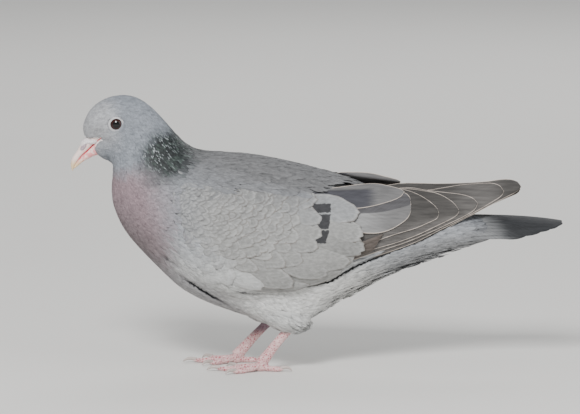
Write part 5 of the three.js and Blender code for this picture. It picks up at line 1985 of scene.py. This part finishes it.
@dataclass
class Skin:
    """The one skin under the coat: body, wing roots and thighs, the lids, and the bare legs and feet."""

    form: BodyForm
    wing: WingForm
    thigh: ThighForm
    legs: Legs
    plumage: PlumageColour
    # the node group of the painted shadow in the plumage's folds
    folds: bpy.types.NodeTree
    voxel: float = 1.5
    leg_voxel: float = 0.42
    thigh_depth: float = 1.8  # the coat's depth over the thighs
    floor_gap: float = 0.05  # how far the soles stay over the floor
    lid: tuple = (  # the rim's section round the eye: its radius, and its height over the opening
        (3.9, -0.5), (3.62, 0.12), (3.72, 0.42), (3.98, 0.5), (4.2, 0.3), (4.36, 0.32), (4.62, 0.42),
        (4.92, 0.28), (5.25, -0.35), (5.3, -1.4), (4.6, -1.8), (4.0, -1.4),
    )

    def _body(self) -> bpy.types.Object:
        """Return the body's tube, inset by the coat's depth."""
        s = np.concatenate([np.linspace(0.05, 6, 40), np.linspace(6.25, 20.6, 60)])
        points, out = self.form.outwards(*np.meshgrid(s, around(56), indexing="ij"))
        surface = Surface(points, (0, 1), (0, 1), True, out)
        depth = 0.45 + 0.15 * smooth(s, 0.5, 3) + 0.4 * smooth(s, 5, 9) + 0.6 * smooth(s, 9, 13)
        return tube("skin", points - surface.normals * depth[:, None, None])

    def _wing_root(self, side: int) -> bpy.types.Object:
        """Return the block of wing under one shield."""
        u, v = np.meshgrid(np.linspace(0.35, 5.1, 24), np.linspace(0.03, 0.87, 16), indexing="ij")
        outer = self.wing.at(u, v) - (0, 2.1, 0)
        inner = outer[:, ::-1] * (1, 0, 1) + (0, 12, 0)
        return tube("wing_root", np.concatenate([outer, inner], 1) * (1, side, 1))

    def _lids(self, side: int) -> bpy.types.Object:
        """Return the ring of bare skin round one eye: a rolled rim with a crease outside it."""
        radius, height = np.array(self.lid).T
        base = EYE[1] + math.sqrt(EYE_RADIUS**2 - EYE_OPENING**2)
        fall = 0.22 * np.maximum(radius - 3.7, 0) ** 1.2
        rings = []
        for cos, sin in ((math.cos(angle), math.sin(angle)) for angle in around(72)):
            front, back = np.exp(-((cos - 1) / 0.08) ** 2), np.exp(-((cos + 1) / 0.08) ** 2)
            r = radius * (1 + 0.05 * front + 0.04 * back)
            rim = base + height + 0.15 * max(-sin, 0) * (height > 0)
            rings.append(np.stack([EYE[0] - r * cos, side * (rim - fall), EYE[2] + r * sin], -1))
        return tube_ring("lid", np.array(rings))

    def _legs(self) -> bpy.types.Object:
        """Return the bare skin of both legs, with the soles pressed flat on the floor."""
        tubes = [piece for leg in self.legs.legs.values() for piece in leg.flesh()]
        bare = merged(joined(tubes), self.leg_voxel, 3)
        for vert in bare.data.vertices:
            vert.co.z = max(vert.co.z, self.floor_gap * MM)
        return bare

    def build(self) -> bpy.types.Object:
        """Return the skin as one piece."""
        parts = [self._body()]
        parts += [self._wing_root(side) for side in SIDES.values()]
        parts += [tube("thigh", self.thigh.rings(side, -self.thigh_depth)) for side in SIDES.values()]
        groups = ((merged(joined(parts), self.voxel, 6), 0), (self._legs(), 1), (self._lids(LEFT), 2),
                  (self._lids(RIGHT), 2))
        materials = (self._plumage(), self._leg_skin(), self._lid_skin())
        for obj, index in groups:
            obj.data.materials.clear()
            for material in materials:
                obj.data.materials.append(material)
            obj.data.polygons.foreach_set("material_index", [index] * len(obj.data.polygons))
            obj.data.polygons.foreach_set("use_smooth", [True] * len(obj.data.polygons))
        skin = joined([obj for obj, _ in groups])
        skin.name = "skin"
        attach(skin, BODY)
        toes = [f"toe_{name}_{toe.name}" for name, leg in self.legs.legs.items() for toe in leg.toes]
        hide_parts("head", "neck", "trunk", "thigh_left", "thigh_right", "wing_left_coverts",
                    "wing_right_coverts", "shank_left", "shank_right", *toes)
        return skin

    def _plumage(self) -> bpy.types.Material:
        """Return the feathered skin's material, with the coat's colours and the painted shadow in its folds.
        """
        material, tree, shader = principled("skin_plumage", 0.85, 0.25)
        feeds = {"Place": tree.here()}
        # painted shadow in the folds
        fold_shadow = tree.group(self.folds, feeds).outputs["Mask"]
        colour = tree.mix(fold_shadow, tree.group(self.plumage.group, feeds).outputs["Colour"], Colour.FOLD_SHADOW)
        edge = tuple((x, z, 1.0) for x, z in self.form.face_edge) + ((-147.0, 147.6, 1.0),)
        gape = self.form.gape
        for line, full, none, bare in ((edge, 1.2, 2.4, Colour.CERE), (gape, 0.6, 0.9, Colour.BILL_PALE),
                                       (gape, 0.2, 0.45, Colour.GAPE)):
            colour = tree.mix(tree.near_line(tree.here_mm(), line, full, none), colour, bare)
        tree.finish(shader, colour)
        return material

    @staticmethod
    def _lid_skin() -> bpy.types.Material:
        """Return the material of the eyelids."""
        material, tree, shader = principled("skin_lid", 0.5, 0.5)
        folds = tree.noise(tree.here(), 1800.0, 3.0)
        tree.finish(shader, tree.mix(folds, Colour.LID, Colour.LID_DARK), folds)
        return material

    @staticmethod
    def _leg_skin() -> bpy.types.Material:
        """Return the material of legs and toes: small red cells between pale flaky edges, with painted shade
        over the far leg's upper shank.
        """
        material, tree, shader = principled("skin_leg", 0.5, 0.45)
        here = tree.here()
        stretched = tree.vector("MULTIPLY", tree.shaken(here, 300.0, 2.0, 0.0012), (700.0, 650.0, 1000.0))
        feeds = {"Vector": stretched, "Scale": 1.0}
        edge = tree.node("ShaderNodeTexVoronoi", feeds, feature="DISTANCE_TO_EDGE").outputs["Distance"]
        patchy = tree.step(tree.noise(here, 160.0, 3.0), 0.25, 0.48, 0.3, 1.0)
        red = tree.product(tree.step(edge, 0.12, 0.3), patchy)
        _, y, z = tree.parts(here)
        # painted shade: the far leg's upper shank is darker and purple-grey
        shade = tree.product(tree.step(z, 0.017, 0.023), tree.step(y, -0.002, 0.002), 0.8)
        colour = tree.mix(shade, tree.mix(red, Colour.LEG_PALE, Colour.LEG_RED), Colour.LEG_PURPLE)
        tree.finish(shader, colour, tree.step(edge, 0.0, 0.25), 0.7, 0.0005)
        return material


# -------- head: bill, cere and eyes
@dataclass(frozen=True)
class BillHalf:
    """One half of the bill, as sections from its root to its tip: top (x, z), bottom (x, z), half breadth."""

    name: str
    sections: tuple
    square: float  # above 1 the sections are boxier
    solid: str  # the solid whose place it takes

    def build(self, material: bpy.types.Material) -> bpy.types.Object:
        """Return the half as a smooth tube."""
        top, bottom = (Spline([s[k] for s in self.sections]) for k in (0, 1))
        half = Spline([(s[2],) for s in self.sections])
        s = (1 - (1 - np.linspace(0, 1, 56)) ** 1.25) * top.last
        turn = around(44)
        ease = lambda value: np.sign(value) * np.abs(value) ** (1 / self.square)
        share = (1 - ease(np.cos(turn))) / 2
        rings = lerp(top.at(s)[:, None], bottom.at(s)[:, None], share[None, :, None])
        y = half.at(s) * ease(np.sin(turn))
        obj = tube(self.name, np.stack([rings[..., 0], y, rings[..., 1]], -1))
        obj.data.materials.append(material)
        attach(obj, BODY)
        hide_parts(self.solid)
        return obj


@dataclass
class Head:
    """The bill, its cere and the eyes."""

    upper: tuple = (
        ((-139.0, 146.4), (-131.0, 147.0), 4.6), ((-142.4, 146.2), (-135.6, 145.4), 4.6),
        ((-145.8, 144.6), (-138.6, 143.3), 4.3), ((-148.3, 142.1), (-141.2, 141.0), 3.9),
        ((-149.9, 139.6), (-143.6, 138.6), 3.3), ((-151.4, 137.1), (-146.0, 136.4), 2.8),
        ((-153.0, 134.9), (-148.3, 134.3), 2.5), ((-154.3, 132.3), (-150.2, 131.8), 2.2),
        ((-154.9, 129.6), (-151.8, 129.3), 1.75), ((-154.7, 127.5), (-152.9, 127.3), 1.15),
        ((-154.0, 125.0), (-153.5, 125.0), 0.35),
    )
    lower: tuple = (
        ((-128.5, 147.4), (-127.5, 137.0), 4.3), ((-134.0, 146.4), (-133.5, 135.8), 4.3),
        ((-138.2, 144.4), (-139.2, 134.7), 3.95), ((-141.0, 142.0), (-142.6, 133.2), 3.35),
        ((-143.6, 139.5), (-145.2, 131.9), 2.8), ((-146.2, 137.2), (-147.2, 130.8), 2.3),
        ((-148.6, 134.8), (-149.2, 129.1), 1.9), ((-150.4, 132.4), (-151.0, 127.6), 1.45),
        ((-152.0, 129.8), (-152.6, 126.5), 0.95), ((-152.9, 128.0), (-153.2, 126.5), 0.4),
    )
    mouth: tuple = (
        (-134.6, 147.2, 1.0), (-136.2, 145.9, 1.0), (-137.6, 144.7, 1.0), (-140.7, 141.6, 1.0),
        (-142.8, 139.4, 1.0),
        (-144.8, 137.5, 1.0), (-147.9, 134.8, 0.8), (-150.3, 131.7, 0.5), (-151.9, 129.3, 0.1),
    )
    pupil: float = 2.25
    lobes: tuple = (  # the cere's lobes: centre, radii and pitch in degrees
        ((-145.3, 2.1, 143.2), (3.9, 2.4, 2.35), 38.0), ((-141.8, 3.0, 143.9), (3.9, 2.3, 1.9), 2.0),
        ((-146.4, 2.5, 140.6), (3.5, 1.7, 1.5), 48.0),
    )
    # painted shade under the cere's lobes, where the nostrils' slits lie
    nostril_shade: Region = Region(Colour.CERE_LOWER, (-145.2, 0.6, 141.1), (3.9, 40, 1.6), 0.25, 25.0)

    def _bill_material(self, name: str, pink: float) -> bpy.types.Material:
        """Return a half's material: pale with a share of pink, red along the mouth, cream at the tip."""
        material, tree, shader = principled(name, 0.42, 0.5)
        lines = tree.grain((420.0, 900.0, 420.0), 3.0)
        colour = tree.mix(tree.step(lines, 0.75 - pink, 0.95 - pink), Colour.BILL_PALE, Colour.BILL_PINK)
        colour = tree.mix(tree.step(tree.parts(tree.here())[2], 0.1335, 0.1285), colour, Colour.BILL_TIP)
        colour = tree.mix(tree.near_line(tree.here_mm(), self.mouth, 0.2, 0.62), colour, Colour.GAPE)
        tree.finish(shader, colour, lines, 0.35, 0.0003)
        return material

    def bill(self) -> list:
        """Return both halves of the bill."""
        upper = BillHalf("bill_fine_upper", self.upper, 1.15, "bill_upper")
        lower = BillHalf("bill_fine_lower", self.lower, 1.1, "bill_lower")
        return [half.build(self._bill_material(half.solid, pink))
                for half, pink in ((upper, 0.2), (lower, 0.38))]

    def cere(self) -> bpy.types.Object:
        """Return the cere: two soft flaky lobes over the bill's root, with painted shade under them for the
        nostrils' slits.
        """
        lobes = [tube("lobe", egg((x, y * side, z), radii, -pitch, 20, 28, 0.06))
                 for side in SIDES.values() for (x, y, z), radii, pitch in self.lobes]
        cere = merged(joined(lobes), 0.26, 3)
        cere.name = "cere_fine"
        cere.data.polygons.foreach_set("use_smooth", [True] * len(cere.data.polygons))
        material, tree, shader = principled("cere_skin", 0.62, 0.4)
        flakes, spot = tree.noise(tree.here(), 1100.0, 4.0), tree.here_mm()
        spot = tree.vector("ADD", spot, tree.vector("SCALE", tree.noise(spot, 0.9, 2.0, 1), scale=1.2))
        # painted shade under the lobes, broken up by the flakes
        low = tree.product(self.nostril_shade.mask(tree, spot), tree.step(flakes, 0.3, 0.7, 1.0, 0.45))
        colour = tree.mix(low, Colour.CERE, self.nostril_shade.colour)
        colour = tree.mix(tree.step(flakes, 0.62, 0.42, 0.0, 0.45), colour, Colour.CERE_SHADE)
        tree.finish(shader, colour, flakes, 0.8, 0.0006)
        cere.data.materials.append(material)
        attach(cere, BODY)
        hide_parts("cere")
        return cere

    def eyes(self) -> list:
        """Return both eyeballs: a black pupil in a dark red-brown iris under a clear coat."""
        material, tree, shader = principled("eye_wet", 0.1, 0.25, Coat_Weight=0.35, Coat_Roughness=0.03)
        here = tree.here()
        offset = tree.vector("SUBTRACT", here, (EYE[0] * MM, 0, EYE[2] * MM))
        away = tree.vector("LENGTH", tree.vector("MULTIPLY", offset, (1 / MM, 0.0, 1 / MM)))
        iris = tree.mix(tree.noise(here, 1500.0, 3.0), Colour.IRIS, Colour.IRIS_LIGHT)
        iris = tree.mix(tree.step(away, EYE_OPENING - 0.75, EYE_OPENING), iris, Colour.IRIS_RIM)
        tree.finish(shader, tree.mix(tree.step(away, self.pupil, self.pupil + 0.18), Colour.PUPIL, iris))
        made = []
        for name, side in SIDES.items():
            bm = bmesh.new()
            bmesh.ops.create_uvsphere(bm, u_segments=64, v_segments=40, radius=EYE_RADIUS * MM)
            bmesh.ops.translate(bm, verts=bm.verts, vec=(EYE[0] * MM, side * EYE[1] * MM, EYE[2] * MM))
            obj = placed(f"eye_fine_{name}", bm)
            obj.data.materials.append(material)
            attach(obj, BODY)
            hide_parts(f"eye_{name}")
            made.append(obj)
        return made


# -------- stage
@dataclass(frozen=True)
class Stage:
    """A plain pale floor, soft lights and the camera."""

    azimuth: float = 0.0
    elevation: float = 7.5
    distance: float = 3.5
    target: tuple = (-0.017, 0.0, 0.102)
    lens: float = 345.0

    def floor(self) -> None:
        """Make the floor."""
        bm = bmesh.new()
        bmesh.ops.create_circle(bm, cap_ends=True, segments=96, radius=6.0)
        floor = placed("floor", bm, flat=True)
        material, tree, shader = principled("floor_pale", 0.9, 0.2)
        tree.finish(shader, tree.mix(tree.noise(tree.here(), 3.0, 3.0), Colour.FLOOR_SHADE, Colour.FLOOR))
        floor.data.materials.append(material)

    def lights(self) -> None:
        """Make a pale world, a soft key from the upper left and a weak fill."""
        world = bpy.data.worlds.new("studio")
        bpy.context.scene.world = world
        world.use_nodes = True
        world.node_tree.nodes["Background"].inputs[0].default_value = (0.86, 0.88, 0.9, 1)
        world.node_tree.nodes["Background"].inputs[1].default_value = 0.6
        for name, place, size, power in (
            ("key", (-0.45, -1.9, 1.5), 0.6, 66.0),
            ("fill", (1.6, -1.2, 0.9), 1.6, 10.0),
            ("back", (0.4, 1.8, 1.4), 1.4, 16.0),
        ):
            light = bpy.data.lights.new(name, "AREA")
            light.size, light.energy = size, power
            lamp = linked(name, light)
            lamp.location = place
            lamp.rotation_euler = (Vector(self.target) - Vector(place)).to_track_quat("-Z", "Y").to_euler()
            lamp.visible_camera = False

    def camera(self) -> None:
        """Make the camera."""
        data = bpy.data.cameras.new("camera")
        data.lens, data.sensor_width = self.lens, 36.0
        data.clip_start, data.clip_end = 0.1, 50.0
        camera = linked("camera", data)
        azimuth, elevation = math.radians(self.azimuth), math.radians(self.elevation)
        back = Vector((math.sin(azimuth) * math.cos(elevation), -math.cos(azimuth) * math.cos(elevation),
                       math.sin(elevation)))
        camera.location = Vector(self.target) + back * self.distance
        camera.rotation_euler = (-back).to_track_quat("-Z", "Y").to_euler()
        bpy.context.scene.camera = camera


def main() -> None:
    """Build the bird's looks in order."""
    logging.basicConfig(level=logging.INFO, format="%(message)s")
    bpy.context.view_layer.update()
    stage = Stage()
    stage.camera()
    stage.lights()
    stage.floor()
    rng = np.random.default_rng(1907)
    form, wing, crease = BodyForm(), WingForm(), Crease()
    finishes = FeatherMaterials(crease.shade())
    thigh, legs, head = ThighForm(), Legs(), Head()
    pieces = [Skin(form, wing, thigh, legs, finishes.plumage, finishes.folds).build()]
    pieces += [*legs.claws(), *head.bill(), head.cere(), *head.eyes()]
    pieces += BodyCoat(form, wing, thigh, crease, rng).build(finishes)
    pieces += [ThighCoat(name, thigh, rng).build(finishes) for name in SIDES]
    side_plane = wing.side_plane()
    for name in SIDES:
        pieces += WingCoat(name, side_plane, rng).build(finishes)
    pieces.append(Tail().build(finishes))
    for obj in pieces:
        log.info("%s: %d faces", obj.name, len(obj.data.polygons))


if __name__ == "__main__":
    main()
